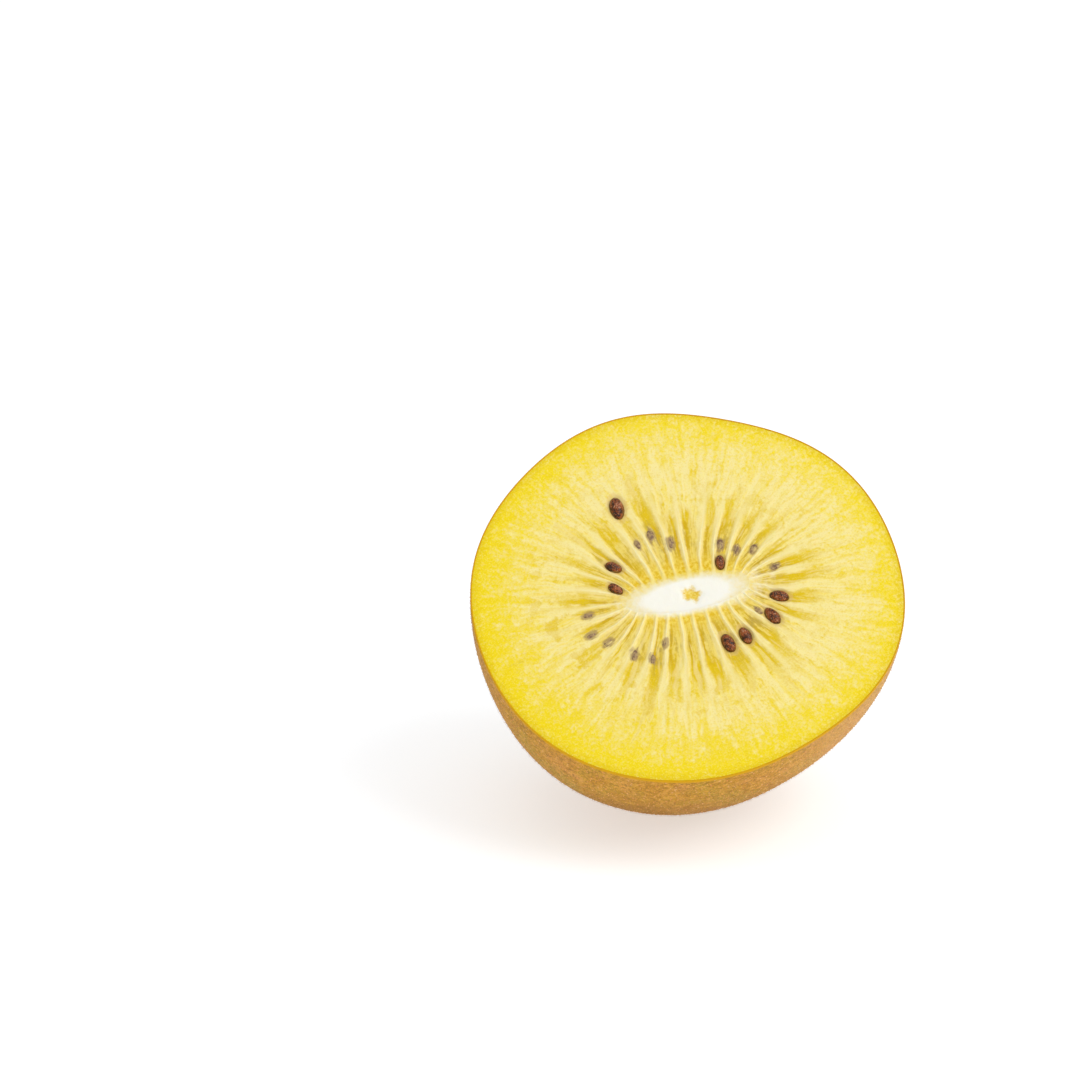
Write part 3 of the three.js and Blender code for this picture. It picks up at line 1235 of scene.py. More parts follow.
def dress(thing: bpy.types.Object, finish: object, slot: SlotName, replaced: tuple[str, ...] = ()) -> None:
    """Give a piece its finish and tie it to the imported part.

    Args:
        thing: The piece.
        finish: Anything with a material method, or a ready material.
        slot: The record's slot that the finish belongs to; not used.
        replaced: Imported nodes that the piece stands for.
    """
    material = finish if isinstance(finish, bpy.types.Material) else finish.material()
    thing.data.materials.append(material)
    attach(thing, "root")
    if replaced:
        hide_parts(*replaced)
    thing.data.calc_loop_triangles()
    LOG.info("%s: %d triangles", thing.name, len(thing.data.loop_triangles))


def quarter_turned(direction: np.ndarray) -> np.ndarray:
    """Turn a flat direction a quarter to the left."""
    return np.array((-direction[1], direction[0]))


# ---- Seeds ------------------------------------------------------------------------------------------------


@dataclass(frozen=True)
class SeedBed:
    """Where one seed lies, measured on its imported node, in the fruit's frame."""

    node: str
    bare: bool
    along: np.ndarray
    middle: np.ndarray
    half_length: float
    half_width: float
    half_thickness: float

    @classmethod
    def of_node(cls, node: str, form: FruitForm, bare: bool) -> "SeedBed":
        """Measure a packed seed.

        Args:
            node: The seed's node.
            form: The fruit.
            bare: Whether the cut laid the seed bare.

        Returns:
            The seed's bed, with its length pointing away from the fruit's axis.
        """
        points = form.from_row(vertices_of(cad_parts[node]))
        low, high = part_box(node)
        rough_middle = form.from_row(np.array([(low + high) / 2]))[0]
        spread = points[:, :2] - points[:, :2].mean(axis=0)
        along = np.linalg.svd(spread, full_matrices=False)[2][0]
        along = along * np.sign(along @ rough_middle[:2])
        across = quarter_turned(along)
        spans = (points[:, :2] @ along, points[:, :2] @ across, points[:, 2])
        out, aside, height = ((span.max() + span.min()) / 2 for span in spans)
        middle = np.array((*(along * out + across * aside), height))
        return cls(node, bare, along, middle, *(np.ptp(span) / 2 for span in spans))

    @property
    def across(self) -> np.ndarray:
        """The direction across the seed, flat in the face."""
        return quarter_turned(self.along)

    def share_out(self, points: np.ndarray) -> np.ndarray:
        """Return points' distances from the seed's middle, as shares of its half sizes: 1 on its outline."""
        away = points[:, :2] - self.middle[:2]
        return np.hypot(away @ self.along / self.half_length, away @ self.across / self.half_width)


@dataclass
class Seeds:
    """All seeds that show on the cut face."""

    form: FruitForm
    core: CoreField
    bare_count: int = 8
    count: int = 22
    rings: int = 22
    columns: int = 28
    taper: float = 0.18
    slimness: float = 0.93
    pit_size: float = 0.22
    pit_depth: float = 0.035
    bare_finish: SeedFinish = SeedFinish()
    veiled_finish: VeiledSeedFinish = VeiledSeedFinish()

    @cached_property
    def beds(self) -> list[SeedBed]:
        """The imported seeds' beds.

        Returns:
            The bare seeds' beds, and then the buried ones'.
        """
        return [
            SeedBed.of_node(f"seed_{index + 1:02d}", self.form, index < self.bare_count)
            for index in range(self.count)
        ]

    def shape(self, bed: SeedBed, index: int) -> Shaper:
        """Shape one seed: pointed at its inner end, somewhat flat and finely pitted.

        Args:
            bed: Where it lies.
            index: Its number, from 0.

        Returns:
            What places its barrel's vertices.
        """

        def place(turn: np.ndarray, ring: np.ndarray) -> np.ndarray:
            """Place the barrel's vertices.

            Args:
                turn: Each vertex's turn round the barrel.
                ring: Each vertex's ring.

            Returns:
                Points in the fruit's frame, one in each row.
            """
            swing = ring / self.rings * math.pi
            bulge = np.sin(swing) * (1.0 + self.taper * -np.cos(swing))
            unit = np.column_stack((-np.cos(swing), bulge * np.cos(turn), bulge * np.sin(turn)))
            pits = cloud(unit, self.pit_size, seed=3.0 * index)
            unit = unit * (1.0 + self.pit_depth * pits)[:, None]
            flat = (
                bed.middle[:2]
                + unit[:, :1] * bed.half_length * bed.along
                + unit[:, 1:2] * bed.half_width * self.slimness * bed.across
            )
            return np.column_stack((flat, bed.middle[2] + unit[:, 2] * bed.half_thickness))

        return place

    def build(self) -> None:
        """Make every seed."""
        bare_coat = self.bare_finish.material()
        veiled_coat = self.veiled_finish.material()
        for index, bed in enumerate(self.beds):
            if bed.bare:
                name, coat, slot = f"bare_{bed.node}", bare_coat, SlotName.SEED
            else:
                name, coat, slot = f"veiled_{bed.node}", veiled_coat, SlotName.VEILED_SEED
            made = shape_barrel(name, self.rings, self.columns, self.form, self.shape(bed, index))
            set_attribute(made.thing, "ray", self.core.ray(made.points))
            set_attribute(made.thing, "edge", bed.share_out(made.points))
            dress(made.thing, coat, slot, (bed.node,))


# ---- The cut face -----------------------------------------------------------------------------------------


@dataclass
class FacePattern:
    """The lay of the cut face: chambers, the walls between them and the veils over buried seeds.

    Attributes:
        spans: Between which reaches chambers end.
        fullnesses: Between which shares their outer ends are deeper in colour.
        murks: Between which shares they are dimmed.
        margins: Between which shares they are deeper along one wall.
        detour_chambers: How many chambers away a wall still gives way to a seed.
        detour_reach: How far inwards and outwards of the seed it does.
        least_sway: How far walls sway at the core, in chambers; further out it is further_sway more.
        veil_ends: Where the shade over a buried seed is full and gone, in shares of its half sizes.
        halo_ring: The middle and width of the pale ring round a bare seed, in the same shares.
        groove_ring: The same of the painted shade in the groove.
        crowded_width: Chamber widths at which walls run together and stand apart.
        span: Each chamber's own draw from spans; fullness, murk and margin likewise.
    """

    core: CoreField
    beds: list[SeedBed]
    wall_height: float = 0.05 * MM
    chamber_depth: float = 0.09 * MM
    grain_height: float = 0.03 * MM
    seed_dip: float = 0.2 * MM
    spans: tuple[float, float] = (0.52, 0.76)
    fullnesses: tuple[float, float] = (0.35, 1.0)
    murks: tuple[float, float] = (0.2, 1.0)
    margins: tuple[float, float] = (0.3, 1.0)
    detour_chambers: float = 0.9
    detour_reach: float = 0.25
    least_sway: float = 0.10
    further_sway: float = 0.14
    murk_at: float = 0.36
    murk_width: float = 0.3
    clear_radius: float = 2.6 * MM
    veil_ends: tuple[float, float] = (0.6, 1.6)
    halo_ring: tuple[float, float] = (1.3, 0.32)
    groove_ring: tuple[float, float] = (0.98, 0.16)
    crowded_width: tuple[float, float] = (0.45 * MM, 1.1 * MM)
    span: np.ndarray = field(init=False)
    fullness: np.ndarray = field(init=False)
    murk: np.ndarray = field(init=False)
    margin: np.ndarray = field(init=False)

    def __post_init__(self) -> None:
        """Draw each chamber's own length and colouring."""
        draw = np.random.default_rng(Draws.CHAMBERS)
        count = self.core.chambers
        self.span = draw.uniform(*self.spans, count)
        self.fullness = draw.uniform(*self.fullnesses, count)
        self.murk = draw.uniform(*self.murks, count)
        self.margin = draw.choice((-1.0, 1.0), count) * draw.uniform(*self.margins, count)

    def place(self, turn: np.ndarray, reach: np.ndarray) -> np.ndarray:
        """Count turns in chambers, as the walls really run: they sway, and pass beside the seeds.

        Args:
            turn: Turns round the core.
            reach: Reaches from the core to the rim.

        Returns:
            Whole numbers in chambers' middles and halves on walls.
        """
        place = self.swayed(turn, reach)
        seeds = np.array([bed.middle for bed in self.beds if bed.bare])
        seed_turn, seed_reach = self.core.place_of(seeds)
        seed_place = self.swayed(seed_turn, seed_reach)
        count = self.core.chambers
        for at, out, shift in zip(seed_turn, seed_reach, np.rint(seed_place) - seed_place):
            aside = (((turn - at) / TURN + 0.5) % 1.0 - 0.5) * count
            near = bell(aside, self.detour_chambers) * bell(reach - out, self.detour_reach)
            place = place + shift * near
        return place

    def swayed(self, turn: np.ndarray, reach: np.ndarray) -> np.ndarray:
        """Count turns in chambers whose walls sway, less so near the core.

        Args:
            turn: Turns round the core.
            reach: Reaches from the core to the rim.

        Returns:
            Whole numbers in chambers' middles and halves on walls.
        """
        ray = np.column_stack((np.cos(turn), np.sin(turn), 0.5 * reach))
        amount = self.least_sway + self.further_sway * smooth(reach, 0.0, 0.4)
        return self.core.chamber_place(turn) + amount * (cloud(ray, 0.22) + 0.4 * cloud(ray, 0.07, seed=5.0))

    @staticmethod
    def lay(place: np.ndarray, reach: np.ndarray) -> np.ndarray:
        """Return the sine and the cosine of places counted in chambers, and their reach, in each row."""
        phase = TURN * place
        return np.column_stack((np.sin(phase), np.cos(phase), reach))

    def layers(self, turn: np.ndarray, reach: np.ndarray, points: np.ndarray) -> dict[str, np.ndarray]:
        """Work out what the flesh's finish needs at each point.

        Args:
            turn: Turns round the core.
            reach: Reaches from the core to the rim.
            points: The same places in the fruit's frame.

        Returns:
            Values by name.
        """
        place = self.place(turn, reach)
        own = np.rint(place).astype(int) % self.core.chambers
        return {
            "lay": self.lay(place, reach),
            "ray": self.core.ray(points),
            "crowded": self.crowding(turn, reach),
            "span": self.span[own],
            "fullness": self.fullness[own],
            "murk": self.murk[own] * self.near_seeds(points) * bell(reach - self.murk_at, self.murk_width),
            "margin": self.margin[own],
            "veil": self.over_seeds(False, points, lambda out: 1.0 - smooth(out, *self.veil_ends)),
            "halo": self.ring_round_seeds(points, *self.halo_ring),
            "groove_shade": self.ring_round_seeds(points, *self.groove_ring),
            "white": self.core.whiteness(points),
        }

    def crowding(self, turn: np.ndarray, reach: np.ndarray) -> np.ndarray:
        """Tell where walls run into one another, as they do at the core's two ends.

        Args:
            turn: Turns round the core.
            reach: Reaches from the core to the rim.

        Returns:
            1 there, and 0 where they stand apart.
        """
        step = 0.5 / self.core.chambers * TURN
        level = self.core.core_level + reach * (self.core.rim_level(turn) - self.core.core_level)
        apart = self.core.point(turn + step, level) - self.core.point(turn - step, level)
        return 1.0 - smooth(np.hypot(*apart.T), *self.crowded_width)

    def near_seeds(self, points: np.ndarray) -> np.ndarray:
        """Return how clear, and so how dark, the flesh is: most round the seeds."""
        distances = [np.hypot(*(points[:, :2] - bed.middle[:2]).T) for bed in self.beds]
        return 0.3 + 0.9 * bell(np.min(distances, axis=0), self.clear_radius)

    def ring_round_seeds(self, points: np.ndarray, middle: float, width: float) -> np.ndarray:
        """Return 1 on a ring round each bare seed, and less away from it."""
        return self.over_seeds(True, points, lambda out: bell(out - middle, width))

    def over_seeds(
        self, bare: bool, points: np.ndarray, shape: Callable[[np.ndarray], np.ndarray]
    ) -> np.ndarray:
        """Return the greatest of the values that a shape takes over seeds.

        Args:
            bare: Whether over the bare seeds or the buried ones.
            points: Places on the face.
            shape: Gives values for distances from a seed's middle, as shares of its half sizes.

        Returns:
            The values.
        """
        return np.max([shape(bed.share_out(points)) for bed in self.beds if bed.bare == bare], axis=0)

    def height(self, layers: dict[str, np.ndarray], points: np.ndarray) -> np.ndarray:
        """Raise the walls, and sink the chambers and the flesh beside bare seeds.

        Args:
            layers: What layers gave.
            points: The same places.

        Returns:
            Heights above the cut.
        """
        sine, cosine, reach = layers["lay"].T
        across = np.abs(np.arctan2(sine, cosine)) / TURN
        wall = smooth(across + 0.085 + 0.3 * smooth(reach, 0.3, 0.9), 0.40, 0.56)
        chamber = (1.0 - wall) * (1.0 - smooth(reach - layers["span"], -0.2, 0.05))
        relief = self.wall_height * wall * (1.0 - smooth(reach, 0.4, 0.8)) - self.chamber_depth * chamber
        grain = self.grain_height * cloud(points, 0.6 * MM, seed=17.0)
        dip = self.over_seeds(True, points, lambda out: bell(np.maximum(out - 0.9, 0.0), 0.45))
        relief = relief * (1.0 - layers["crowded"])
        return (relief + grain) * smooth(reach, 0.0, 0.06) - self.seed_dip * dip


@dataclass
class Flesh:
    """The yellow flesh: a bowl with a softly fluted face and a socket for the core."""

    form: FruitForm
    core: CoreField
    pattern: FacePattern
    under_peel: float = 0.15 * MM
    rim_radius: float = 0.07 * MM
    floor_gap: float = 0.16 * MM
    columns: int = 620
    bowl_rings: int = 18
    rim_rings: int = 4
    face_rings: int = 116
    socket_rings: int = 8
    finish: FleshFinish = FleshFinish()

    @property
    def face_start(self) -> int:
        """The ring where the rounded rim meets the face."""
        return self.bowl_rings + self.rim_rings

    @property
    def face_end(self) -> int:
        """The ring where the face meets the core's socket."""
        return self.face_start + self.face_rings

    def reach(self, ring: np.ndarray) -> np.ndarray:
        """Return the reach of each ring: 1 in the bowl, 0 in the socket."""
        return np.clip((self.face_end - ring) / self.face_rings, 0.0, 1.0)

    def shape(self, turn: np.ndarray, ring: np.ndarray) -> np.ndarray:
        """Place the barrel's vertices: up the bowl, over the rim, across the face and down the socket.

        Args:
            turn: Each vertex's turn round the barrel.
            ring: Each vertex's ring.

        Returns:
            Points in the fruit's frame, one in each row.
        """
        rim = self.core.face(turn, np.ones_like(turn), self.under_peel)
        angle = np.arctan2(rim[:, 1], rim[:, 0])
        swing = TURN / 4 * (1.0 - np.clip(ring / self.bowl_rings, 0.0, 1.0))
        bowl = self.form.skin(angle, swing, self.under_peel) - np.array((0.0, 0.0, self.rim_radius))
        roll = np.clip((ring - self.bowl_rings) / self.rim_rings, 0.0, 1.0) * TURN / 4
        inwards = self.rim_radius * (1.0 - np.cos(roll)) / np.hypot(*rim.T)
        raised = self.rim_radius * np.sin(roll) - self.rim_radius
        rolled = np.column_stack((rim * (1.0 - inwards)[:, None], raised))
        flat = self.core.face(turn, self.reach(ring), self.under_peel + self.rim_radius)
        face = np.column_stack((flat, np.zeros(len(flat))))
        deep = np.clip((ring - self.face_end) / self.socket_rings, 0.0, 1.0)
        narrow = np.sqrt(1.0 - deep**2)
        side = self.core.from_core(
            self.core.half_length * narrow * np.cos(turn),
            self.core.half_width * narrow * np.sin(turn),
        )
        socket = np.column_stack((side, -deep * self.core.depth))
        points = np.where((ring < self.bowl_rings)[:, None], bowl, rolled)
        points = np.where((ring > self.face_start)[:, None], face, points)
        return np.where((ring > self.face_end)[:, None], socket, points)

    def build(self) -> None:
        """Make the flesh, raise its walls and lay the tissue's shares on it."""
        rings = self.face_end + self.socket_rings
        made = shape_barrel("flesh_half", rings, self.columns, self.form, self.shape, self.face_end)
        layers = self.pattern.layers(made.turn, self.reach(made.ring), made.points)
        on_face = (made.ring > self.bowl_rings) & (made.ring <= self.face_end)
        raised = made.points.copy()
        raised[:, 2] += np.where(on_face, self.pattern.height(layers, made.points), 0.0)
        placed = self.form.to_row(raised)
        placed[:, 2] = np.maximum(placed[:, 2], self.floor_gap)
        move_vertices(made.thing, placed)
        for name, values in layers.items():
            set_attribute(made.thing, name, values)
        dress(made.thing, self.finish, SlotName.FLESH, ("flesh",))


@dataclass
class CorePlug:
    """The pale core: a flat spindle with a small star-shaped pit in the middle of its face.

    Attributes:
        pit_ends: Shares of the pit's radius at which it is deepest and at which it ends.
        star_depth: How far the star's points stand out, as a share of the radius.
        oval_depth: How far the pit is drawn out to an oval.
    """

    form: FruitForm
    core: CoreField
    pattern: FacePattern
    columns: int = 310
    side_rings: int = 10
    face_rings: int = 44
    grain_height: float = 0.03 * MM
    pit_radius: float = 1.1 * MM
    pit_depth: float = 0.3 * MM
    pit_at: tuple[float, float] = (0.4 * MM, -0.35 * MM)
    pit_ends: tuple[float, float] = (0.1, 1.6)
    star_points: int = 5
    star_depth: float = 0.12
    oval_depth: float = 0.14
    finish: CoreFinish = CoreFinish()

    def reach(self, ring: np.ndarray) -> np.ndarray:
        """Return how far out each ring of the face is: 1 on the outline, 0 in the middle."""
        return np.clip(1.0 - (ring - self.side_rings) / self.face_rings, 0.0, 1.0)

    def pit(self, along: np.ndarray, across: np.ndarray) -> np.ndarray:
        """Tell how deep places on the core's face lie in its pit.

        Args:
            along: Distances along the core from its middle.
            across: Distances across it.

        Returns:
            0 to 1.
        """
        x, y = along - self.pit_at[0], across - self.pit_at[1]
        turn = np.arctan2(y, x)
        star = self.star_depth * np.cos(self.star_points * turn)
        oval = self.oval_depth * np.cos(2.0 * turn + 1.0)
        return 1.0 - smooth(np.hypot(x, y) / (self.pit_radius * (1.0 + star + oval)), *self.pit_ends)

    def shape(self, turn: np.ndarray, ring: np.ndarray) -> np.ndarray:
        """Place the barrel's vertices: up the spindle's side and in across its face.

        Args:
            turn: Each vertex's turn round the barrel.
            ring: Each vertex's ring.

        Returns:
            Points in the fruit's frame, one in each row.
        """
        deep = 1.0 - np.clip(ring / self.side_rings, 0.0, 1.0)
        share = np.sqrt(1.0 - deep**2) * np.where(ring <= self.side_rings, 1.0, self.reach(ring))
        along = self.core.half_length * share * np.cos(turn)
        across = self.core.half_width * share * np.sin(turn)
        points = np.column_stack((self.core.from_core(along, across), -deep * self.core.depth))
        grain = self.grain_height * cloud(points, 0.8 * MM, seed=21.0)
        sunk = grain * smooth(1.0 - self.reach(ring), 0.0, 0.2) - self.pit_depth * self.pit(along, across)
        points[:, 2] += np.where(ring > self.side_rings, sunk, 0.0)
        return points

    def build(self) -> None:
        """Make the core."""
        rings = self.side_rings + self.face_rings
        made = shape_barrel("core_plug", rings, self.columns, self.form, self.shape, self.side_rings)
        share = np.where(made.ring > self.side_rings, self.reach(made.ring), 1.0)
        along = self.core.half_length * share * np.cos(made.turn)
        across = self.core.half_width * share * np.sin(made.turn)
        turn, reach = self.core.place_of(self.core.from_core(along, across))
        layers = {
            "lay": self.pattern.lay(self.pattern.place(turn, reach), reach),
            "ray": self.core.ray(made.points),
            "crowded": self.pattern.crowding(turn, reach),
            "star": self.pit(along, across),
            "white": self.core.whiteness(made.points),
        }
        for name, values in layers.items():
            set_attribute(made.thing, name, values)
        dress(made.thing, self.finish, SlotName.CORE, ("core",))


# ---- The skin ---------------------------------------------------------------------------------------------


@dataclass
class Peel:
    """The thin skin, flattened where the fruit lies, with its freckles and short down.

    Attributes:
        lip_height: How far the cut edge is rounded up, as a share of the thickness.
        cut_band: Heights under the cut between which the cut edge's colour comes in.
        stem_band: Distances from the axis between which the stem end's colour goes out.
        spiral_ends: Swings at which the spiral of freckles and hairs starts and ends.
        spiral_stray: How far they stray from it sideways, as an angle.
        slope_step: The angle over which the skin's slope is measured.
        freckle_width: The least width; freckle_growth is the most that is added.
        freckle_length: Between which multiples of the width a freckle is long.
        freckle_floor: The height below which there are none, since the skin lies on the ground.
        hair_length: Between which lengths hairs are, in millimetres.
        hair_lean: Between which amounts they lean each way, besides hair_lean_back from the stem end.
        hair_rise: How far out a hair's middle stands, as a share of its length.
        steepest: The least of a hair's direction that has to point outwards.
    """

    form: FruitForm
    thickness: float = 0.18 * MM
    inner_floor_gap: float = 0.15 * MM
    columns: int = 480
    outer_rings: int = 150
    lip_rings: int = 4
    inner_rings: int = 20
    lump: float = 0.12 * MM
    lump_size: float = 9.0 * MM
    fine_lump: float = 0.03 * MM
    fine_lump_size: float = 2.2 * MM
    lip_height: float = 0.3
    cut_band: tuple[float, float] = (-0.8 * MM, 0.1 * MM)
    stem_band: tuple[float, float] = (4.0 * MM, 8.0 * MM)
    spiral_ends: tuple[float, float] = (0.012, TURN / 4 - 0.09)
    spiral_samples: int = 400
    spiral_stray: float = 0.03
    slope_step: float = 0.004
    freckles: int = 8000
    freckle_width: float = 0.12 * MM
    freckle_growth: float = 0.26 * MM
    freckle_length: tuple[float, float] = (1.0, 1.4)
    freckle_height: float = 0.06 * MM
    freckle_floor: float = 0.5 * MM
    hairs: int = 16000
    hair_length: tuple[float, float] = (0.16, 0.34)
    hair_width: float = 0.03 * MM
    hair_lean: tuple[float, float] = (-0.8, 0.8)
    hair_lean_back: float = 0.4
    hair_rise: float = 0.45
    hair_floor: float = 0.6 * MM
    steepest: float = 0.3
    finish: PeelFinish = PeelFinish()
    freckle_finish: PlainGrainFinish = PlainGrainFinish(
        "kiwi_freckle", srgb(216, 142, 72), srgb(234, 186, 116), roughness=0.65
    )
    hair_finish: PlainGrainFinish = PlainGrainFinish(
        "kiwi_down", srgb(176, 122, 62), srgb(222, 176, 112), roughness=0.6
    )

    @property
    def lip_end(self) -> int:
        """The ring where the cut edge meets the inside."""
        return self.outer_rings + self.lip_rings

    def pushed_out(self, points: np.ndarray, swing: np.ndarray) -> np.ndarray:
        """Push points of the skin out to its lumps, which fade towards the cut.

        Args:
            points: Points in the fruit's frame, one in each row.
            swing: Their swings from the cut to the stem end.

        Returns:
            The pushed points.
        """
        broad = self.lump * cloud(points, self.lump_size, seed=25.0)
        fine = self.fine_lump * cloud(points, self.fine_lump_size, seed=29.0)
        lumps = (broad + fine) * np.sqrt(np.sin(swing))
        return points * (1.0 + lumps / np.linalg.norm(points, axis=1))[:, None]

    def shape(self, turn: np.ndarray, ring: np.ndarray) -> np.ndarray:
        """Place the barrel's vertices: up the outside, over the cut edge and down the inside.

        Args:
            turn: Each vertex's turn round the barrel.
            ring: Each vertex's ring.

        Returns:
            Points in the fruit's frame, one in each row.
        """
        outer = TURN / 4 * (1.0 - ring / self.outer_rings)
        inner = TURN / 4 * (ring - self.lip_end) / self.inner_rings
        swing = np.clip(np.where(ring <= self.outer_rings, outer, inner), 0.0, TURN / 4)
        roll = np.clip((ring - self.outer_rings) / self.lip_rings, 0.0, 1.0)
        points = self.form.skin(turn, swing, roll * self.thickness)
        points[:, 2] += np.where(roll > 0.0, np.sin(roll * math.pi) * self.thickness * self.lip_height, 0.0)
        return self.pushed_out(points, swing)

    def build(self) -> None:
        """Make the skin, its freckles and its down."""
        rings = self.lip_end + self.inner_rings
        made = shape_barrel("peel_skin", rings, self.columns, self.form, self.shape)
        placed = vertices_of(made.thing)
        inside = made.ring > self.outer_rings
        placed[:, 2] = np.maximum(placed[:, 2], np.where(inside, self.inner_floor_gap, 0.0))
        move_vertices(made.thing, placed)
        near_cut = smooth(made.points[:, 2], *self.cut_band)
        set_attribute(made.thing, "cut_edge", np.where(made.ring >= self.outer_rings, 1.0, near_cut))
        near_stem = 1.0 - smooth(np.hypot(*made.points[:, :2].T), *self.stem_band)
        set_attribute(made.thing, "stem_end", near_stem * (made.points[:, 2] < 0.0))
        dress(made.thing, self.finish, SlotName.PEEL, ("peel",))
        self.add_freckles()
        self.add_down()

    def spread(self, count: int, draws: Draws) -> list[tuple[Vector, Vector, Vector]]:
        """Spread places evenly over the skin along a golden spiral, each a little off its line.

        Args:
            count: How many places.
            draws: The random offsets.

        Returns:
            For each place its point, its outward direction and the direction to the stem end, in the row.
        """
        draw = np.random.default_rng(draws)
        swings = np.linspace(*self.spiral_ends, self.spiral_samples)
        rings = self.form.skin(np.zeros(self.spiral_samples), swings)
        steps = np.linalg.norm(np.diff(rings, axis=0), axis=1)
        areas = np.concatenate(((0.0,), np.cumsum(steps * (rings[1:, 0] + rings[:-1, 0]) / 2)))
        share = (np.arange(count) + draw.uniform(0.0, 1.0, count)) / count
        swing = np.interp(share * areas[-1], areas, swings)
        angle = np.arange(count) * GOLDEN_TURN + draw.uniform(-0.5, 0.5, count) * self.spiral_stray
        smooth_point = self.form.skin(angle, swing)
        point = self.pushed_out(smooth_point, swing)
        further = self.form.skin(angle, swing + self.slope_step) - smooth_point
        beside = self.form.skin(angle + self.slope_step, swing) - smooth_point
        outwards = np.cross(further, beside)
        outwards = outwards * np.sign(np.einsum("ij,ij->i", outwards, point))[:, None]
        placed = self.form.to_row(point)
        turning = self.form.turning.T
        return [
            (Vector(at), Vector(out).normalized(), Vector(stem).normalized())
            for at, out, stem in zip(placed, outwards @ turning, further @ turning)
        ]

    def add_freckles(self) -> None:
        """Raise the skin's pale freckles as low buttons, most of them small."""
        draw = np.random.default_rng(Draws.FRECKLE_SIZES)
        placings = []
        for point, outwards, stem in self.spread(self.freckles, Draws.FRECKLE_PLACES):
            width = self.freckle_width + self.freckle_growth * draw.uniform(0.0, 1.0) ** 2
            if point.z > self.freckle_floor:
                sizes = (width * draw.uniform(*self.freckle_length), width, self.freckle_height)
                placings.append(placing_on(point, outwards, stem, sizes))
        thing = scatter_cones("freckles", placings, sides=6, tip=0.5)
        dress(thing, self.freckle_finish, SlotName.PEEL)

    def add_down(self) -> None:
        """Stand short hairs all over the skin, leaning this way and that."""
        draw = np.random.default_rng(Draws.HAIR_SIZES)
        placings = []
        for point, outwards, stem in self.spread(self.hairs, Draws.HAIR_PLACES):
            length = draw.uniform(*self.hair_length) * MM
            lean = Vector(draw.uniform(*self.hair_lean, 3)) - stem * self.hair_lean_back
            direction = (outwards + lean).normalized()
            if point.z > self.hair_floor and direction.dot(outwards) > self.steepest:
                sizes = (self.hair_width, self.hair_width, length)
                middle = point + direction * length * self.hair_rise
                placings.append(placing_on(middle, direction, stem, sizes))
        thing = scatter_cones("down", placings, sides=3, tip=0.15)
        dress(thing, self.hair_finish, SlotName.PEEL)


# ---- The stem end -----------------------------------------------------------------------------------------


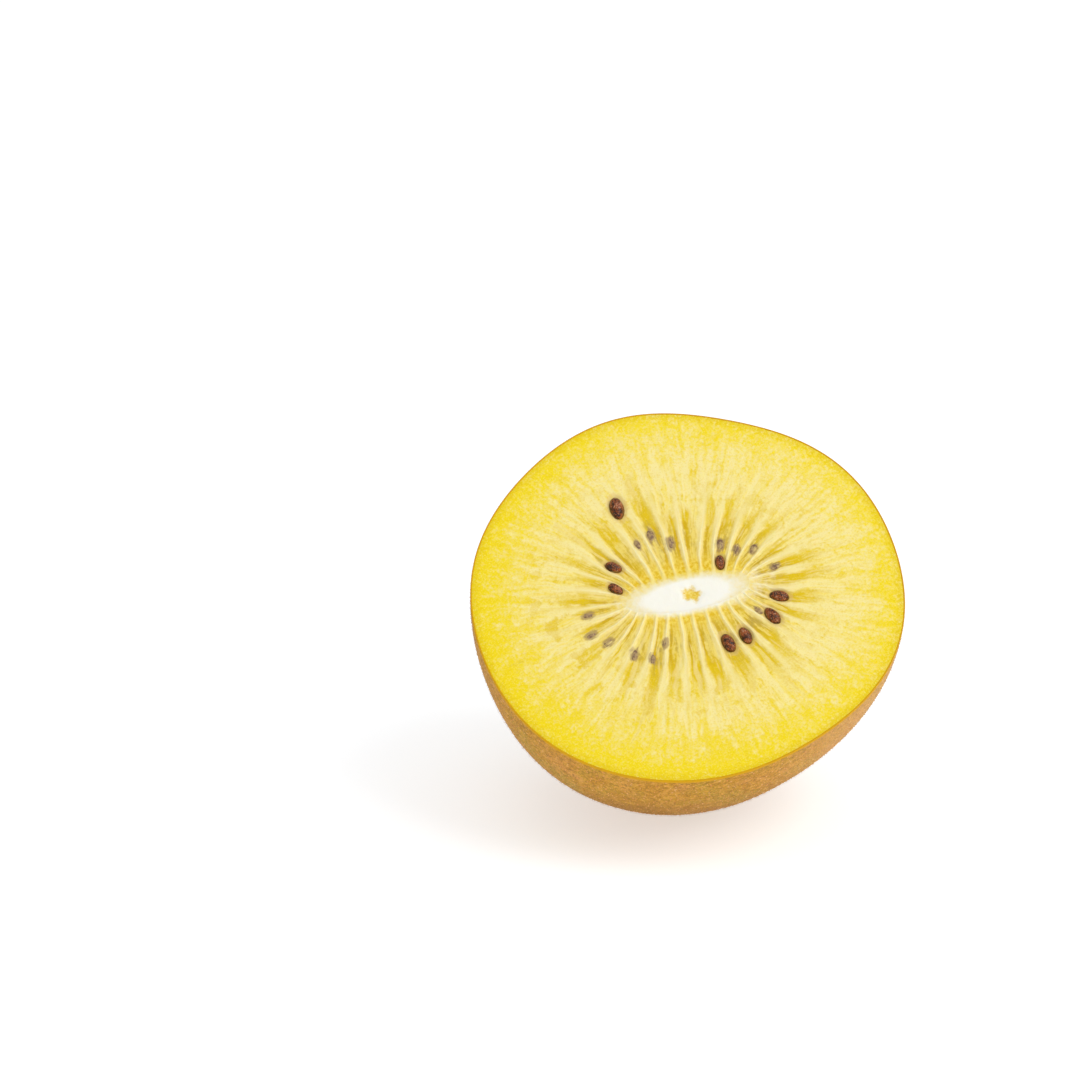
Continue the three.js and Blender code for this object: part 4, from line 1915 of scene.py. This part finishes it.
@dataclass
class StemScar:
    """The withered calyx that closes the stem end.

    Attributes:
        embedded: How deep its hidden side lies in the skin.
        stub_band: Shares of the radius between which the sepal stubs rise.
        hole_band: Shares of the stalk's radius between which its hole ends.
        raggedness: Waves round its edge: how many, how high as a share of the radius, and their phase.
        worn_from: The share of the radius from which it thins towards its edge.
        bristle_length: Between which lengths bristles are, in millimetres.
        bristle_rise: How far out a bristle's middle stands, as a share of its length.
        bristle_band: Shares of the disc's area between which bristles stand.
    """

    form: FruitForm
    radius: float = 4.6 * MM
    embedded: float = 0.05 * MM
    thickness: float = 0.9 * MM
    sepals: int = 5
    sepal_height: float = 0.55 * MM
    stub_band: tuple[float, float] = (0.5, 0.86)
    stalk_radius: float = 1.4 * MM
    hole_band: tuple[float, float] = (0.6, 1.15)
    stalk_depth: float = 0.6 * MM
    crumple_height: float = 0.16 * MM
    fibre_height: float = 0.14 * MM
    raggedness: tuple[tuple[int, float, float], ...] = ((5, 0.08, 0.0), (13, 0.03, 0.0), (29, 0.02, 1.0))
    worn_from: float = 0.74
    columns: int = 240
    outer_rings: int = 60
    inner_rings: int = 12
    bristles: int = 260
    bristle_length: tuple[float, float] = (0.35, 0.95)
    bristle_width: float = 0.09 * MM
    bristle_rise: float = 0.35
    bristle_band: tuple[float, float] = (0.08, 0.95)
    finish: WoodyFinish = WoodyFinish("woody_scar", srgb(68, 42, 22), srgb(158, 114, 66), srgb(160, 114, 50))
    bristle_finish: PlainGrainFinish = PlainGrainFinish(
        "scar_bristle", srgb(84, 54, 28), srgb(166, 120, 70), roughness=0.8
    )

    def edge(self, turn: np.ndarray) -> np.ndarray:
        """Return the disc's ragged radius."""
        ragged = sum(share * np.cos(count * turn + at) for count, share, at in self.raggedness)
        return self.radius * (1.0 + ragged)

    def thickness_at(self, turn: np.ndarray, share: np.ndarray) -> np.ndarray:
        """Work out the disc's thickness: sepal stubs round the stalk's hole, crumpled and fibrous.

        Args:
            turn: Turns round the disc.
            share: Shares of its radius.

        Returns:
            The thicknesses.
        """
        sepal = 0.5 + 0.5 * np.cos(self.sepals * turn)
        stub = self.sepal_height * sepal * smooth(share, *self.stub_band)
        stalk_share = share * self.radius / self.stalk_radius
        stalk = self.stalk_depth * (1.0 - smooth(stalk_share, *self.hole_band))
        flat = np.column_stack((share * np.cos(turn), share * np.sin(turn), np.zeros_like(turn)))
        drawn_out = np.column_stack((np.cos(turn) * 3.0, np.sin(turn) * 3.0, share * 1.2))
        crumpled = self.crumple_height * cloud(flat, 0.16, seed=61.0)
        fibres = self.fibre_height * cloud(drawn_out, 0.22, seed=67.0)
        worn = 1.0 - smooth(share, self.worn_from, 1.0)
        return (self.thickness + stub - stalk + (crumpled + fibres)) * worn

    def weathered_side(self, turn: np.ndarray, distance: np.ndarray, share: np.ndarray) -> np.ndarray:
        """Return the height of the disc's outer side over the stem end."""
        return self.form.stem_end(distance, turn) + self.embedded - self.thickness_at(turn, share)

    def shape(self, turn: np.ndarray, ring: np.ndarray) -> np.ndarray:
        """Place the barrel's vertices: out across the weathered side and back along the skin.

        Args:
            turn: Each vertex's turn round the barrel.
            ring: Each vertex's ring.

        Returns:
            Points in the fruit's frame, one in each row.
        """
        outer = ring / self.outer_rings
        inner = 1.0 - (ring - self.outer_rings) / self.inner_rings
        share = np.clip(np.where(ring <= self.outer_rings, outer, inner), 0.0, 1.0)
        distance = share * self.edge(turn)
        hidden_side = self.form.stem_end(distance, turn) + self.embedded
        height = np.where(ring <= self.outer_rings, self.weathered_side(turn, distance, share), hidden_side)
        return np.column_stack((distance * np.cos(turn), distance * np.sin(turn), height))

    def build(self) -> None:
        """Make the scar and the torn bristles round the stalk's hole."""
        rings = self.outer_rings + self.inner_rings
        made = shape_barrel("calyx_scar", rings, self.columns, self.form, self.shape)
        distance = np.hypot(*made.points[:, :2].T) / self.radius
        fibre = np.column_stack((np.cos(made.turn) * 2.0, np.sin(made.turn) * 2.0, distance * 0.7))
        set_attribute(made.thing, "fibre", fibre)
        dress(made.thing, self.finish, SlotName.SCAR, ("stem_scar",))
        draw = np.random.default_rng(Draws.BRISTLES)
        placings = [self.bristle(draw) for _ in range(self.bristles)]
        thing = scatter_cones("scar_bristles", placings, sides=5, tip=0.2)
        dress(thing, self.bristle_finish, SlotName.SCAR)

    def bristle(self, draw: np.random.Generator) -> Matrix:
        """Place one bristle, which leans outwards.

        Args:
            draw: Where its place, length and lean are drawn from.

        Returns:
            Its placing.
        """
        turn = draw.uniform(0.0, TURN)
        distance = self.radius * math.sqrt(draw.uniform(*self.bristle_band))
        at = np.array((turn,))
        share = distance / self.edge(at)
        height = self.weathered_side(at, np.array((distance,)), share)
        point = np.column_stack((distance * math.cos(turn), distance * math.sin(turn), height))
        length = draw.uniform(*self.bristle_length) * MM
        radial = np.array((math.cos(turn), math.sin(turn), 0.0))
        down = np.array((0.0, 0.0, -0.45))
        direction = down + radial * draw.uniform(0.2, 1.0) + draw.uniform(-0.4, 0.4, 3)
        outwards = Vector(self.form.turning @ direction).normalized()
        middle = Vector(self.form.to_row(point)[0]) + outwards * length * self.bristle_rise
        return placing_on(middle, outwards, ANY_SIDEWAYS, (self.bristle_width, self.bristle_width, length))


# ---- The studio -------------------------------------------------------------------------------------------


def look_at(
    name: str, data: bpy.types.ID, target: Vector, azimuth: float, elevation: float, distance: float
) -> bpy.types.Object:
    """Add a light or a camera that looks at a place.

    Args:
        name: The object's name.
        data: The light's or the camera's data.
        target: What it looks at.
        azimuth: How far round to the right it stands from the front.
        elevation: How high it stands over the target, as an angle.
        distance: How far from the target it stands.

    Returns:
        The object.
    """
    thing = bpy.data.objects.new(name, data)
    back = backwards(azimuth, elevation)
    thing.location = target + back * distance
    thing.rotation_mode = "QUATERNION"
    thing.rotation_quaternion = (-back).to_track_quat("-Z", "Y")
    bpy.context.scene.collection.objects.link(thing)
    return thing


def backwards(azimuth: float, elevation: float) -> Vector:
    """Return the direction from a target to what looks at it, for angles round and up."""
    level = math.cos(elevation)
    return Vector((math.sin(azimuth) * level, -math.cos(azimuth) * level, math.sin(elevation)))


@dataclass(frozen=True)
class SoftLight:
    """A square soft light, aimed at the fruit; its angles are in degrees."""

    name: str
    azimuth: float
    elevation: float
    distance: float
    size: float
    watts: float

    def build(self, target: Vector) -> None:
        """Hang the light.

        Args:
            target: What it is aimed at.
        """
        light = bpy.data.lights.new(self.name, "AREA")
        light.shape = "SQUARE"
        light.size = self.size
        light.energy = self.watts
        around, up = math.radians(self.azimuth), math.radians(self.elevation)
        look_at(self.name, light, target, around, up, self.distance)


@dataclass
class Studio:
    """A plain pale floor, soft light and the camera."""

    form: FruitForm
    floor_size: float = 12.0
    floor_cells: int = 8
    floor_colour: Colour = (0.70, 0.73, 0.76)
    glow: float = 0.55
    sky_strength: float = 0.48
    lights: tuple[SoftLight, ...] = (
        SoftLight("key", azimuth=58.0, elevation=45.0, distance=1.2, size=0.8, watts=6.4),
        SoftLight("overhead", azimuth=-20.0, elevation=80.0, distance=1.3, size=1.2, watts=2.6),
    )
    azimuth: float = math.radians(-2.244)
    elevation: float = math.radians(21.191)
    distance: float = 0.6
    lens: float = 165.0
    sensor_width: float = 36.0
    nearest: float = 0.01
    aim_right: float = -17.706 * MM
    aim_up: float = 6.476 * MM

    def build(self) -> None:
        """Set the floor, the sky, the lights and the camera."""
        face_centre = Vector(self.form.to_row(np.zeros((1, 3)))[0])
        self.add_floor()
        self.add_sky()
        for light in self.lights:
            light.build(face_centre)
        self.add_camera(face_centre)
        bpy.context.scene.view_settings.view_transform = "Standard"

    def add_floor(self) -> None:
        """Lay the floor under the flat spot."""
        made = bmesh.new()
        cells = self.floor_cells
        bmesh.ops.create_grid(made, x_segments=cells, y_segments=cells, size=self.floor_size / 2)
        floor = add_object("floor", made)
        finish = Paint("floor_paint").finish(
            base_color=self.floor_colour, roughness=0.9, emission_color=WHITE, emission_strength=self.glow
        )
        floor.data.materials.append(finish)

    def add_sky(self) -> None:
        """Surround the scene with even white light."""
        world = bpy.data.worlds.new("studio_sky")
        world.use_nodes = True
        sky = world.node_tree.nodes["Background"].inputs
        sky["Color"].default_value = (*WHITE, 1.0)
        sky["Strength"].default_value = self.sky_strength
        bpy.context.scene.world = world

    def add_camera(self, face_centre: Vector) -> None:
        """Place the camera, aimed to the left of the face's centre and a little above it.

        Args:
            face_centre: Centre of the cut face, in the row's frame.
        """
        camera = bpy.data.cameras.new("camera")
        camera.lens = self.lens
        camera.sensor_width = self.sensor_width
        camera.clip_start = self.nearest
        right = Vector((math.cos(self.azimuth), math.sin(self.azimuth), 0.0))
        up = backwards(self.azimuth, self.elevation).cross(right)
        aim = face_centre + right * self.aim_right + up * self.aim_up
        thing = look_at("camera", camera, aim, self.azimuth, self.elevation, self.distance)
        bpy.context.scene.camera = thing


def main() -> None:
    """Build the half fruit and its studio."""
    logging.basicConfig(level=logging.INFO, format="%(name)s: %(message)s")
    form = FruitForm()
    core = CoreField(form)
    seeds = Seeds(form, core)
    pattern = FacePattern(core, seeds.beds)
    for part in (Flesh(form, core, pattern), CorePlug(form, core, pattern), Peel(form), StemScar(form)):
        part.build()
    seeds.build()
    Studio(form).build()


if __name__ == "__main__":
    main()
